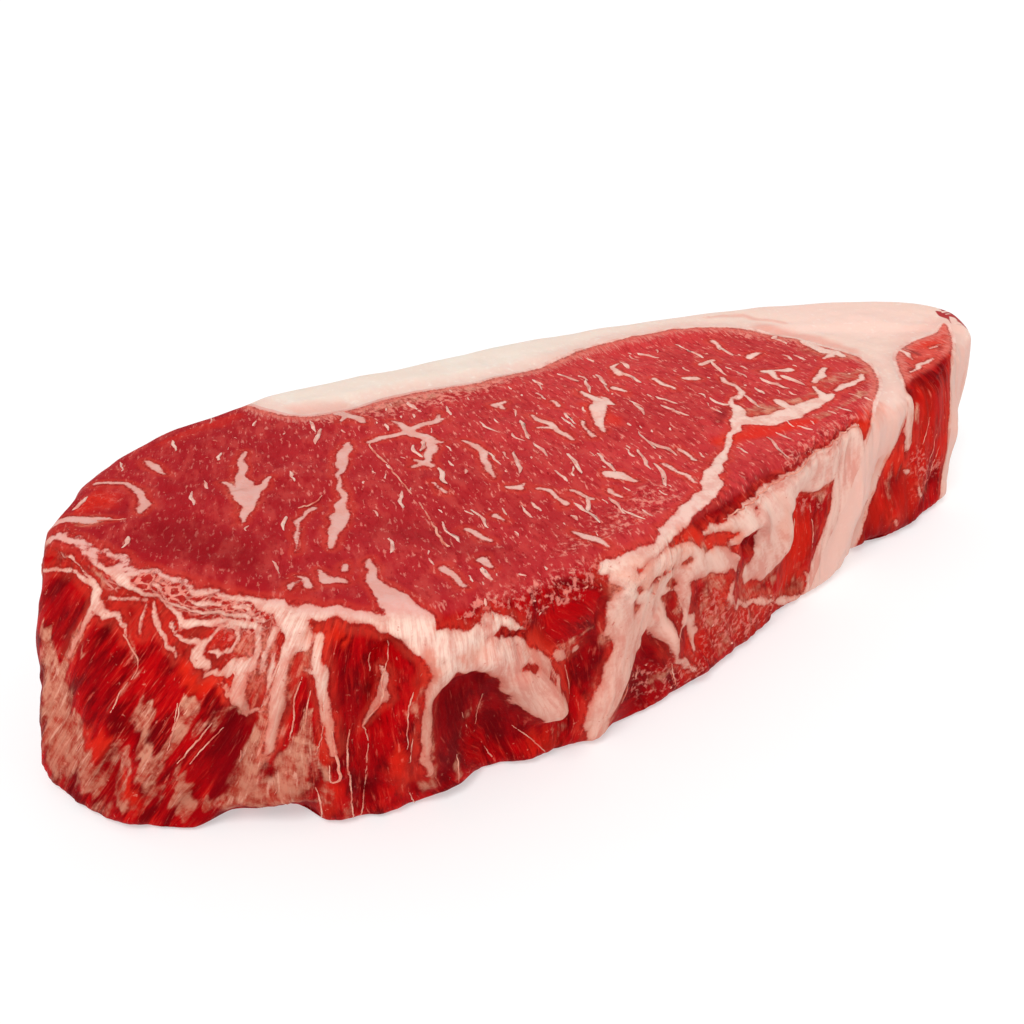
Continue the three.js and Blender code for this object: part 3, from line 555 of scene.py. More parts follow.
GLOWS = [
    (0.9, [(33.6, 32.6, 1.2), (37, 31.4, 1.6), (41, 31, 1.2)]),
    (0.7, [(17, 17, 1.6), (20, 15.6, 2), (21.6, 17.6, 1)]), (0.6, [(26.6, 12, 1.2), (28.6, 8.6, 1.6)]),
    (0.8, [(52, 43, 1.4), (54.6, 44.4, 1.2), (57.6, 43.6, 1)]),
    (0.9, [(70.6, 40, 1), (72.6, 36, 1.4), (73, 33, 1)]), (0.7, [(74.6, 19, 1.4), (78, 10, 1.6)]),
    (1, [(121, 40.8, 1), (126, 39, 1.6), (131, 36.8, 1.8), (136, 34.6, 1.5), (140.6, 31.8, 1)]),
    (0.7, [(151, 36, 1), (153, 31, 1.4), (153.6, 27, 1.2)]),
    (0.9, [(107, 41.4, 1.4), (112, 38.4, 2.2), (118, 35.6, 1.8)]),
    (0.8, [(119, 37.6, 2), (124, 36, 1.8)]), (0.7, [(131.4, 18, 1.4), (133, 14, 1.2)]),
    (1, [(194.6, 26, 1.6), (198, 24, 3), (201.6, 22, 1.8)]), (0.7, [(204.6, 28, 1.6), (207.6, 22, 2)]),
    (0.9, [(181, 39, 1.4), (185.6, 38, 2), (190, 39, 1.2)]),
    (0.8, [(162.6, 27, 3), (165, 18, 5), (164, 11, 4.4)]),
    (0.5, [(205, 33, 5), (209, 22, 6), (205, 10, 5), (196, 12, 4)]),
    (0.5, [(136, 22, 4), (142, 12, 5), (154, 8, 5)]), (0.6, [(215, 34, 3), (219, 26, 3), (220, 16, 3)]),
    (0.8, [(77, 38.8, 1), (80.4, 38, 1.4)]),
    (0.7, [(90, 36.4, 1), (96, 30.4, 1.2), (100, 25, 1.2), (103, 19.6, 1)]),
    (0.6, [(60.6, 26, 1.4), (63, 19, 1.4)]), (0.5, [(102, 9, 1.6), (107, 4, 1.6)]),
    (0.5, [(146, 21, 1), (151, 16, 1)]), (0.5, [(66, 14, 1.6), (68, 6, 1.6)]),
    (0.6, [(209, 23, 1.6), (211, 18, 1.4)]),
]
CRUMBS = [
    (0.45, [(19, 46, 1.4), (24, 45, 2.2), (34, 44.4, 2.4), (44, 43.6, 2.4)]),
    (0.9, [(78, 45.6, 2), (90, 43.4, 3), (103, 43, 2.4)]), (0.3, [(3, 44.6, 2.2), (16, 44, 2)]),
    (0.5, [(120, 12, 3), (128, 9, 4.6), (136, 7, 4)]),
    (0.6, [(137, 18, 3), (143, 11, 4.4), (150, 9, 5), (158, 9, 3)]),
    (0.6, [(108, 38, 3), (120, 35, 3)]), (0.8, [(156, 41, 1.4), (180, 41, 1.4)]),
    (0.5, [(206, 22, 3), (212, 13, 5), (218, 14, 3)]), (0.6, [(163, 28, 2), (171, 26, 2)]),
    (0.5, [(40, 40, 4), (46, 36, 4)]), (0.5, [(135, 22, 3), (142, 14, 3)]),
]
# The same on the upper cut face.
CUT_CRUMBS = [
    (1, [(-44, 32, 3), (-34, 31.4, 4), (-22, 31.6, 4.4), (-10, 32.6, 3), (2, 35.6, 1.8),
     (16, 38, 1.4)]),
    (0.7, [(-4, -21, 4), (-12, -26, 4.4), (-26, -32, 4)]),
    (0.7, [(54, 33, 3), (62, 25, 4), (66, 15, 3)]), (0.25, [(-96, 18, 3), (-90, 18, 3)]),
]
CUT_SMEARS = [
    (0.7, [(58, 31, 1.6), (64, 23, 2), (67.4, 14, 2)]), (0.8, [(-98, 12, 1.6), (-94.6, 11.6, 1.8)]),
    (0.5, [(51, 4, 2), (58, 5, 2.6), (66, 6, 2)]), (0.6, [(28, -1, 2.2), (38, -1.6, 2), (48, 0, 2)]),
    (0.6, [(40, -8.6, 1.6), (50, -7, 2), (57, -3, 1.6)]), (0.5, [(61, 20, 2.6), (66, 14, 2.4)]),
    (0.5, [(-69, 13, 2.4), (-70, 5, 2.4)]), (0.4, [(-99, 6, 1.6), (-94, -3, 1.6)]),
    (0.6, [(-50, -39, 2), (-30, -39.6, 2.4), (-22, -36, 2)]),
    (0.6, [(-2, 37.6, 1.2), (10, 38.6, 1), (24, 40, 0.8)]),
    (0.5, [(-36, 31.6, 2), (-24, 32.4, 2.4), (-12, 32.6, 2.4), (-2, 35, 1.6)]),
]
CUT_GLOWS = [
    (0.9, [(18, -9, 1.6), (25, -8.4, 1.8), (33, -8.8, 1.6), (40, -9, 1.2)]),
    (0.8, [(-12, -27.6, 1), (0, -27.6, 1.4), (10, -22, 1.4)]),
    (0.6, [(58, 33, 2), (66, 24, 2), (69, 16, 1.6)]), (0.8, [(-99, 17, 2.4), (-92, 18, 3.4)]),
    (0.5, [(-48, 36, 2), (-40, 35, 2)]), (0.4, [(-75, 36, 3), (-60, 40, 2)]),
    (0.6, [(2, 15, 1), (4, 6, 1.6)]), (0.7, [(84, 13, 2), (90, 11.6, 2), (95, 14, 1.4)]),
    (0.6, [(50, 43.2, 0.8), (58, 40.6, 0.8), (64, 33, 0.8)]),
]
# darker places in the lean of the upper cut face, and a sliver of lean at the tail's tip
CUT_DEEPS = [
    (0.4, [(-84, 2, 5), (-78, -10, 5)]), (0.3, [(-50, -12, 4), (-40, -26, 4)]),
    (0.6, [(22, -2, 1), (27, 2.6, 1)]), (0.5, [(32, -1.6, 0.8), (37, -1.8, 0.8)]),
    (1, [(101.8, 25.8, 1.2), (101, 21.8, 1.8), (99.8, 17.4, 1.2)]),
    (0.9, [(80.8, 12.6, 0.8), (81, 8.6, 0.6)]), (0.6, [(87, 8.2, 0.9), (92, 10.6, 1.2), (95, 14.6, 1)]),
    (0.8, [(74, 3.4, 0.8), (73, 1, 0.6)]),
]


def along(places, paths, measure, furthest):
    """For each place the least of measure(distance to a path, the path's width there) over all paths."""
    best = np.full(len(places), furthest)
    for path in paths:
        path = np.array(path, float)
        for (*first, wide), (*second, narrow) in zip(path, path[1:]):
            first, run = np.array(first), np.subtract(second, first)
            t = np.clip((places - first) @ run / (run @ run), 0, 1)
            far = np.linalg.norm(places - first - t[:, None] * run, axis=1)
            best = np.minimum(best, measure(far, wide + (narrow - wide) * t))
    return best


# further than this from any vein the lean is plain
NO_FAT = 4.0


def edge_of(places, veins):
    """Distance from each place to the edge of the nearest vein, negative inside it."""
    return along(places, veins, np.subtract, NO_FAT)


def dabbed(places, dabs):
    """How strongly each place is covered by soft strokes, from 0 to 1."""
    cover = np.zeros(len(places))
    for amount, path in dabs:
        cover = np.maximum(cover, amount * smooth(1.7, 0.3, along(places, [path], np.divide, 9.0)))
    return cover


# the torn side begins about 3 mm under the upper edge, and nearer to the edge round the tail
tail_wall = smooth(196, 202, slab_s) * smooth(234, 228, slab_s)
on_side = smooth(-2.6, -4.4, slab_v - slab_rim - 2.6 * tail_wall)
on_foot = slab_v < 0
on_side[on_foot] = 0
plan = slab_points[:, :2]
around = np.stack([slab_s, slab_v], 1)
plan_swayed = plan + 0.3 * np.stack([waves(plan, 6, 21), waves(plan, 6, 22)], 1)
strand_at = np.stack([fibre(slab_s, slab_v), slab_v], 1)
sideways_fray, lengthways_fray = (waves(strand_at, np.array([2.6, 16]), seed) for seed in (25, 26))
around_swayed = around + 0.3 * np.stack([waves(around, 6, 23), waves(around, 6, 24)], 1)
around_torn = around_swayed + np.stack([0.5 * sideways_fray, 1.2 * lengthways_fray], 1)
below_edge = smooth(-7, -16, slab_v - slab_rim)
around_swayed += np.stack([0.15 * sideways_fray, 0.25 * lengthways_fray * below_edge], 1)
fat_in_cut = edge_of(plan_swayed, CUT_VEINS)
fat_in_cut[slab_v < slab_rim - 6] = NO_FAT
# the underside shows the same veins one slice further along
SLICE_STRETCH, SLICE_SHIFT = [1.03, 0.96], [2.5, -1.5]
fat_in_cut[on_foot] = edge_of(plan_swayed[on_foot] * SLICE_STRETCH + SLICE_SHIFT, CUT_VEINS)
fat_in_side = np.maximum(edge_of(around_swayed, SIDE_VEINS), -edge_of(around_swayed, PORES))
fat_in_side[on_foot] = NO_FAT
slab_fat = np.minimum(fat_in_cut, fat_in_side)
over_rim = slab_v > slab_rim + 1
slab_tint = np.stack([
    np.where(over_rim, dabbed(plan_swayed, cut_dabs), dabbed(around_torn, side_dabs)) * ~on_foot
    for side_dabs, cut_dabs in ((SMEARS, CUT_SMEARS), (SHADED_HOLLOWS, CUT_DEEPS), (GLOWS, CUT_GLOWS))
], 1)
slab_crumbs = np.maximum(dabbed(around_swayed, CRUMBS), dabbed(plan_swayed, CUT_CRUMBS) * over_rim)
slab_crumbs *= ~on_foot

# fat stands a little proud of the lean that has shrunk beside it, and the hollows painted with shade are
# sunk
lift = smooth(0.8, -1.4, slab_fat) * 0.5 * on_side - 0.6 * slab_tint[:, 1] * on_side
lift *= (slab_v > 3) * np.where(slab_v > slab_rim - 3, 0.25, 1)
side_out = np.zeros_like(slab_points)
side_out[:side_count, :2] = np.tile(outward, (SIDE_ROWS + 1, 1))
slab_points = slab_points + side_out * lift[:, None]

# the way the fibres run, for what lies along them
climb = np.gradient(side, axis=0) / np.gradient(side_v, axis=0)[:, :, None]
sideways = (np.roll(side, -1, 1) - np.roll(side, 1, 1)) / (2 * BONED_STEP)
lean_of = np.interp(column_s, LEANING[:, 0], LEANING[:, 1])[None, :, None]
GRAIN_FOCUS = np.array([5.0, 213.0])
towards_focus = GRAIN_FOCUS - slab_points[side_count:, :2]
slab_grain = np.concatenate([(climb + sideways * lean_of).reshape(-1, 3), flat(towards_focus)])


def body(name, points, faces):
    """An object in the scene with a mesh of those points, in metres, and faces."""
    made = bpy.data.objects.new(name, bpy.data.meshes.new(name))
    made.data.from_pydata(points, [], faces)
    bpy.context.scene.collection.objects.link(made)
    return made


slab = body("slab", ((slab_points - CENTRE) * MM).tolist(), slab_faces)
slab_tree = search_tree((slab_points - CENTRE) * MM)

# The borders between the tissues, at the upper and at the lower cut face.
CAP_SEAM = {
    "upper": [
        (-60, 62), (-55, 44), (-50, 35.5), (-42, 33.5), (-28, 35.5), (-12, 34.4), (4, 36), (18, 39.5),
        (32, 40.6), (46, 39.5), (57, 33.5), (65.5, 23), (70, 11), (66, 0), (57, -10), (54, -24),
    ],
    "lower": [
        (-60, 62), (-56, 43), (-50, 36), (-40, 34), (-26, 35.5), (-10, 35.5), (4, 37), (16, 38.6),
        (28, 39), (40, 37), (50, 31.5), (57, 22), (59, 11), (53, 1), (40, -11), (34, -28),
    ],
}
TAIL_SEAM = {
    "upper": [
        (66, -18), (68, -5), (72, 4), (77, 11), (84, 15), (92, 16.6), (98.4, 19.8), (97, 15),
        (91.5, 8.5), (87, 3), (88, -12),
    ],
    "lower": [
        (54, -18), (57, -5), (63, 3), (70, 10), (78, 14.5), (86, 16.5), (92.5, 18), (94, 13.5),
        (91, 7.5), (89.5, 2), (92, -12),
    ],
}
SEAM_STEPS = 60
PAST_FOOT, PAST_TOP = 6, 8
SHARP_ANGLE = math.radians(62)


def on_path(rows, steps):
    """Points on the open curve through rows, in even steps from the first row to the last."""
    rows = np.array(rows, float)
    at = np.linspace(0, len(rows) - 1, steps + 1)
    first = np.minimum(at.astype(int), len(rows) - 2)
    about = (rows[np.clip(first + k, 0, len(rows) - 1)] for k in (-1, 0, 1, 2))
    return between(*about, (at - first)[:, None])


def cutter(name, upper, lower):
    """A closed body between two outlines that reaches past both cut faces."""
    rings = []
    for z in (-PAST_FOOT, CHINE_THICKNESS + PAST_TOP):
        outline = lower + (upper - lower) * z / CHINE_THICKNESS
        rings.append(np.column_stack([outline, np.full(len(outline), z)]) - CENTRE)
    count = len(upper)
    wall = [[i, (i + 1) % count, (i + 1) % count + count, i + count] for i in range(count)]
    floor, lid = list(range(count))[::-1], list(range(count, 2 * count))
    return body(name, (np.concatenate(rings) * MM).tolist(), wall + [floor, lid])


cap_upper, cap_lower, tail_upper, tail_lower = (
    on_path(seam[face], SEAM_STEPS) for seam in (CAP_SEAM, TAIL_SEAM) for face in ("upper", "lower")
)
past_the_fat = np.array([(150, -60), (150, 90), (-60, 90)], float)
fat_side = cutter("fat_side", *(np.concatenate([line, past_the_fat]) for line in (cap_upper, cap_lower)))
tail_side = cutter("tail_side", tail_upper[::-1], tail_lower[::-1])


def seam_distance(points, upper, lower):
    """How far each point is from a border, at the point's own height."""
    best = np.full(len(points), 99.0)
    up = (points[:, 2] / CHINE_THICKNESS)[:, None]
    line = [low + (high - low) * up for low, high in zip(lower, upper)]
    for first, second in zip(line, line[1:]):
        run = second - first
        t = np.clip(((points[:, :2] - first) * run).sum(1) / (run * run).sum(1), 0, 1)[:, None]
        best = np.minimum(best, np.linalg.norm(points[:, :2] - first - t * run, axis=1))
    return best


def written(mesh, name, values):
    """Stores a number or a vector at each point of a mesh."""
    kind, key = ("FLOAT", "value") if values.ndim == 1 else ("FLOAT_VECTOR", "vector")
    mesh.attributes.new(name, kind, "POINT").data.foreach_set(key, values.astype(np.float32).ravel())


def read(points, key, size):
    """The numbers that points have under a key, a row of that size for each point."""
    values = np.empty(len(points) * size, np.float32)
    points.foreach_get(key, values)
    return values.reshape(-1, size)


def carved(name, *cuts):
    """A piece of the slab as a closed mesh of its own, with what its material reads at each point."""
    piece = bpy.data.objects.new(name, slab.data.copy())
    bpy.context.scene.collection.objects.link(piece)
    for operation, tool in cuts:
        cut = piece.modifiers.new(operation, "BOOLEAN")
        cut.operation, cut.object, cut.solver = operation, tool, "MANIFOLD"
    view = bpy.context.evaluated_depsgraph_get()
    mesh = bpy.data.meshes.new_from_object(piece.evaluated_get(view))
    piece.modifiers.clear()
    piece.data = mesh
    mesh.name = name
    mesh.materials.clear()
    places = read(mesh.vertices, "co", 3).astype(float)
    origin = np.array([slab_tree.find(place)[1] for place in places])
    at = places / MM + CENTRE
    written(mesh, "fat", slab_fat[origin])
    written(mesh, "crumbs", slab_crumbs[origin])
    written(mesh, "cap_seam", seam_distance(at, cap_upper, cap_lower))
    written(mesh, "tail_seam", seam_distance(at, tail_upper, tail_lower))
    written(mesh, "tint", slab_tint[origin])
    written(mesh, "fibre", np.stack([fibre(slab_s, slab_v), slab_v, on_side], 1)[origin])
    written(mesh, "grain", slab_grain[origin])
    mesh.shade_smooth()
    mesh.set_sharp_from_angle(angle=SHARP_ANGLE)
    return piece


# ---------------------------------------------------------------------------------------------------
# The lean: the eye of meat and the muscles of the boned side, one piece from cut face to cut face.
# Fresh beef is wet and slightly see-through. Across the grain it is a soft crimson, and along the
# grain on the side it is darker, glossy and streaked. The gloss is painted as glints, and the strands
# as painted light on their ridges and painted shade in their grooves.


class Wire:
    """One output of a shader node. Each operator on it adds the node that works it out."""

    def __init__(self, sheet, socket):
        self.sheet, self.socket = sheet, socket

    def maths(self, operation, *values):
        return self.sheet.node("ShaderNodeMath", {"operation": operation}, dict(enumerate(values)))

    def __add__(self, other):
        return self.maths("ADD", self, other)

    def __sub__(self, other):
        return self.maths("SUBTRACT", self, other)

    def __rsub__(self, other):
        return self.maths("SUBTRACT", other, self)

    def __mul__(self, other):
        return self.maths("MULTIPLY", self, other)

    def __pow__(self, other):
        return self.maths("POWER", self, other)

    __radd__, __rmul__ = __add__, __mul__

    def least(self, other):
        return self.maths("MINIMUM", self, other)

    def step(self, low, high):
        """0 below low and 1 above high, with an easy curve between them."""
        return self.sheet.node(
            "ShaderNodeMapRange",
            {"interpolation_type": "SMOOTHSTEP"},
            {"Value": self, "From Min": low, "From Max": high},
        )


class Sheet:
    """The node tree of one material."""

    def __init__(self, name):
        self.material = bpy.data.materials.new(name)
        self.material.use_nodes = True
        self.tree = self.material.node_tree
        self.tree.nodes.clear()

    def node(self, kind, settings, inputs, output=0):
        """Adds a node, sets it, fills its sockets with numbers or wires, and gives one output."""
        made = self.tree.nodes.new(kind)
        for name, value in settings.items():
            setattr(made, name, value)
        for key, value in inputs.items():
            named = [s for s in made.inputs if key in (s.identifier, s.name)]
            socket = made.inputs[key] if isinstance(key, int) else named[0]
            if isinstance(value, Wire):
                self.tree.links.new(value.socket, socket)
            else:
                socket.default_value = value
        if isinstance(output, int):
            return Wire(self, made.outputs[output])
        return Wire(self, next(s for s in made.outputs if output in (s.identifier, s.name)))

    def parts(self, vector):
        made = self.node("ShaderNodeSeparateXYZ", {}, {"Vector": vector}).socket.node
        return [Wire(self, socket) for socket in made.outputs]

    def joined(self, x, y, z):
        return self.node("ShaderNodeCombineXYZ", {}, {"X": x, "Y": y, "Z": z})

    def mix(self, share, first, second):
        sockets = {"Factor_Float": share, "A_Color": first, "B_Color": second}
        return self.node("ShaderNodeMix", {"data_type": "RGBA"}, sockets, "Result_Color")

    def painted(self, colour, *coats):
        """A colour under coats of others, each with its share."""
        for share, coat in coats:
            colour = self.mix(share, colour, coat)
        return colour

    def noise(self, vector, scale, detail=3, roughness=0.55):
        sockets = {"Vector": vector, "Scale": scale, "Detail": detail, "Roughness": roughness}
        return self.node("ShaderNodeTexNoise", {}, sockets, "Fac")

    def streaky(self, x, y, z, detail=3, roughness=0.55):
        """Noise drawn out along the coordinates that run slower."""
        return self.noise(self.joined(x, y, z), 1.0, detail, roughness)

    def field(self, name, output="Fac"):
        return self.node("ShaderNodeAttribute", {"attribute_name": name}, {}, output)

    def millimetres(self):
        """The place on the steak."""
        place = self.node("ShaderNodeTexCoord", {}, {}, "Object")
        return self.node("ShaderNodeVectorMath", {"operation": "SCALE"}, {"Vector": place, "Scale": 1000.0})

    def bumpy(self, strength, distance, height):
        relief = {"Strength": strength, "Distance": distance, "Height": height}
        return self.node("ShaderNodeBump", {}, relief)

    def surfaced(self, skin):
        """The material, finished with a surface of those properties."""
        surface = self.node("ShaderNodeBsdfPrincipled", {}, skin, "BSDF")
        end = self.tree.nodes.new("ShaderNodeOutputMaterial")
        self.tree.links.new(surface.socket, end.inputs["Surface"])
        return self.material


def shade(red, green, blue):
    """A colour given as it looks, 0 to 255, as the shader's own values."""
    channels = (((c / 255 + 0.055) / 1.055) ** 2.4 if c > 10 else c / 3294.6 for c in (red, green, blue))
    return (*channels, 1)


# how far the middle of the eye is from the point that the grain of the cut faces runs towards
GRAIN_REACH = 205.0


def flesh(name, chine_lean, lean, deep, marbled):
    """Lean with its fat, as a moist surface. marbled scales the flecks on the cut faces."""
    sheet = Sheet(name)
    place = sheet.millimetres()
    x, y, z = sheet.parts(place)
    q, v, side_share = sheet.parts(sheet.field("fibre", "Vector"))
    smear, dark_lean_and_shade, glow = sheet.parts(sheet.field("tint", "Vector"))
    crumbs = sheet.field("crumbs")
    seam = sheet.field("cap_seam").least(sheet.field("tail_seam"))
    focus = GRAIN_FOCUS - CENTRE[:2]
    across, down = x - focus[0], focus[1] - y
    spread = across.maths("ARCTAN2", across, down) * GRAIN_REACH
    out = (across * across + down * down) ** 0.5
    fine = sheet.noise(place, 1.5, 3)

    # the cut faces: bundles of muscle cut across, with the faintest marbling between them
    patches = sheet.noise(place, 0.06, 2)
    bundles = sheet.streaky(spread * 0.42, out * 0.16, z * 0.1)
    cut_fibres = sheet.streaky(spread * 1.0, out * 0.34, z * 0.1, 5, 0.65)
    threads = sheet.streaky(spread * 1.5, out * 0.42, 7.0, 3, 0.6)
    gaps = sheet.streaky(spread * 1.3, out * 0.6, 4.0, 3, 0.6)
    flecks = threads.step(0.57, 0.68) * (0.35 + x.step(-80, -20) * 0.4) * marbled
    cut = sheet.painted(
        sheet.mix(x.step(-90, 30), chine_lean, lean),
        (patches.step(0.35, 0.65) * 0.35, deep),
        (bundles.step(0.45, 0.66) * 0.35, shade(214, 84, 74)),
        (cut_fibres.step(0.52, 0.36) * 0.5, deep),
        (gaps.step(0.37, 0.3) * 0.7, shade(136, 8, 18)),
        (flecks, shade(236, 146, 130)),
    )

    # the side: muscle torn along its fibres, painted lighter on the raised strands and darker in the
    # grooves between them, as light and shade that follow the bump
    broad = sheet.streaky(q * 0.22, v * 0.05, 3.0, 2)
    blotches = sheet.streaky(q * 0.3, v * 0.12, 5.0, 4, 0.6)
    strands = sheet.streaky(q * 0.85 + broad * 2, v * 0.12, 0.0, 4, 0.6)
    mottled = sheet.streaky(q * 0.42, v * 0.24, 9.0, 4, 0.6)
    brushed = sheet.streaky(q * 2.0 + broad * 4, v * 0.2, 6.0, 4, 0.65)
    wet = sheet.painted(
        sheet.mix(blotches.step(0.36, 0.6), shade(112, 0, 5), shade(176, 2, 8)),
        (strands.step(0.52, 0.7) * 0.6, shade(206, 28, 20)),
        (strands.step(0.44, 0.3) * 0.6, shade(84, 0, 4)),
        (brushed.step(0.54, 0.7) * 0.45, shade(218, 66, 50)),
        (brushed.step(0.46, 0.32) * 0.5, shade(90, 0, 4)),
    )

    # the veil of smeared fat on it, darker and browner low down, with painted glints (highlights) along the
    # fibres
    torn = (strands - 0.5) * 0.7 + (brushed - 0.5) * 0.5
    clots = sheet.noise(place, 0.4, 4, 0.65)
    patchy = (mottled - 0.5) * 0.6 + (clots - 0.5) * 1.3 + torn
    haze = (smear - glow * 0.5 + patchy).step(0.1, 0.85) * smear.step(0.0, 0.5)
    thick = mottled * 0.4 + clots * 0.6 + torn * 0.4
    hazy = sheet.mix(thick.step(0.38, 0.62), shade(174, 70, 52), shade(213, 146, 120))
    hazy = sheet.mix(v.step(26, 6) * 0.4, hazy, shade(144, 52, 35))
    glints = sheet.streaky(q * 1.4 + broad * 4, v * 0.18, 8.0, 4, 0.6)
    # painted highlights along the fibres on the bare lean of the side
    bare_glints = glints.step(0.6, 0.7) * side_share * (1 - haze) * (1 - dark_lean_and_shade * 0.7)

    # grains of fat in the torn seams and next to the cap, and stray specks of it everywhere
    grit = sheet.noise(place, 0.95, 4, 0.6)
    grains = (grit + crumbs * 0.08 - 0.5).step(0.05, 0.17) * crumbs.step(0.05, 0.6)
    specks = sheet.noise(place, 0.9, 3, 0.6).step(0.66, 0.74) * 0.5
    by_cap = (seam + (threads - 0.5) * 9).step(3.6, 0.6) * (1 - side_share)

    # between the seams of the shoulder the fat is torn to a fine net
    tangle = {"Vector": sheet.joined(q * 0.5 + mottled * 1.6, v * 0.8 + blotches * 1.6, 1.0), "Scale": 1.0}
    cells = {"feature": "DISTANCE_TO_EDGE", "voronoi_dimensions": "2D"}
    walls = sheet.node("ShaderNodeTexVoronoi", cells, tangle, "Distance") + (grit - 0.5) * 0.7
    netted = crumbs.step(0.08, 0.3) * q.step(3, 8) * q.step(46, 38) * v.step(39.5, 41.5)

    # the shadow and the halo of thin lean along each vein
    ragged = (sheet.noise(place, 0.9, 5, 0.7) - 0.5) * 0.9
    frayed = threads + (brushed * 0.5 + strands * 0.5 - threads) * side_share - 0.5
    edge = sheet.field("fat").least(seam - 0.9) + ragged + frayed * (0.6 + side_share * 0.6)
    vein = (edge + 0.08).step(0.18, -0.18)
    halo = edge.step(1.8, 0.6) * (1 - dark_lean_and_shade)
    shadow = edge.step(0.75, 0.15) * (fine - 0.5).step(-0.1, 0.1)
    red = sheet.painted(
        sheet.mix(side_share, cut, wet),
        # painted shade in the hollows of the side, and darker lean on the cut faces
        ((dark_lean_and_shade * (0.6 + mottled * 0.7)).least(1.0) * 0.8, shade(112, 0, 8)),
        ((glow * (0.4 + mottled)).least(1.0) * 0.9, shade(222, 42, 22)),
        (haze * 0.85, hazy),
        # painted glints: highlights along the fibres on the smear and on the bare lean, stronger higher up,
        # with darker red between them on the smear
        (glints.step(0.55, 0.66) * haze * (0.3 + v.step(4, 28) * 0.4), shade(232, 172, 150)),
        (bare_glints * 0.5, shade(232, 112, 92)),
        (glints.step(0.4, 0.3) * haze * 0.6, shade(150, 22, 24)),
        (grit.step(0.46, 0.36) * crumbs.step(0.05, 0.5) * 0.55, shade(142, 8, 18)),
        (grains * (0.85 - 0.15 * side_share), shade(230, 134, 120)),
        (netted * 0.6, shade(156, 8, 22)),
        (walls.step(0.2, 0.1) * netted * 0.85, shade(234, 164, 146)),
        (by_cap * 0.65, shade(234, 158, 142)),
        (specks * (1 - dark_lean_and_shade), shade(228, 140, 118)),
        (halo * 0.35, shade(212, 66, 48)),
        (shadow * 0.5, shade(112, 2, 10)),
    )

    # the veins and sheets of fat, cream where they are thick and blushing where the lean shows through,
    # with a painted sheen (highlight) along their middles on the side, strongest near the top
    clouds = sheet.noise(place, 0.3, 3)
    sheen_and_blush_clouds = clouds + (sheet.streaky(q * 0.35, v * 0.08, 2.0) - clouds) * side_share
    pores = sheet.noise(place, 0.8, 3, 0.6).step(0.66, 0.74)
    low_fat = sheet.mix(x.step(-70, 50), shade(219, 152, 132), shade(233, 184, 168))
    high_fat = sheet.mix(x.step(-20, 35), shade(238, 199, 181), shade(233, 186, 170))
    cut_fat = sheet.mix(x.step(-60, 30), shade(224, 170, 160), shade(240, 202, 188))
    blush = sheet.mix(side_share, shade(220, 148, 134), shade(202, 98, 82))
    streaks = brushed.step(0.56, 0.4) * (1 - x.step(-45, -5) * 0.8) * side_share
    # painted highlight along the middle of the thicker veins on the side, strongest near the top
    sheen = edge.step(-0.5, -1.4) * (sheen_and_blush_clouds - 0.1) * side_share * (0.4 + v.step(28, 41) * 0.6)
    white = sheet.painted(
        sheet.mix(side_share, cut_fat, sheet.mix(v.step(28, 41), low_fat, high_fat)),
        ((sheen_and_blush_clouds + (fine - 0.5) * 0.3).step(0.58, 0.36) * 0.55, blush),
        (sheen, shade(246, 216, 200)),
        (streaks * 0.35, blush),
        ((glow * (0.2 + mottled)).least(1.0) * side_share * 0.6, shade(226, 128, 100)),
        (edge.step(-0.7, 0.05) * 0.5, blush),
        (pores * side_share * 0.6, shade(186, 60, 48)),
    )

    bare = 1 - vein
    rough = cut_fibres + (strands * 0.6 + brushed * 0.4 - cut_fibres) * side_share
    height = rough * 0.35 * bare + fine * 0.14 + sheen_and_blush_clouds * 0.12 + vein * 0.2 + haze * 0.1 + grains * 0.2
    return sheet.surfaced({
        "Base Color": sheet.mix(vein * 0.97, red, white),
        "Roughness": 0.5 + vein * 0.08 + (fine - 0.5) * 0.15,
        "Normal": sheet.bumpy(0.7, 0.0007, height),
        "Specular IOR Level": 0.02,
        "Subsurface Weight": 0.1,
        "Subsurface Radius": (1.0, 0.2, 0.15),
        "Subsurface Scale": 0.0012,
    })


lean = carved("lean_meat", ("DIFFERENCE", fat_side))
chine_red, eye_red, dark_red = shade(168, 28, 35), shade(203, 60, 61), shade(150, 17, 25)
lean.data.materials.append(flesh("fresh_lean", chine_red, eye_red, dark_red, 1.0))
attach(lean, "root")
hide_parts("lean")

# ---------------------------------------------------------------------------------------------------
# The fat cap: the firm back fat that was left on, which wraps the tail and comes down the boned side
# as a pale band. It is smooth and waxy, cream outside and pinker next to the lean.

fat = carved("fat_layer", ("INTERSECT", fat_side), ("DIFFERENCE", tail_side))


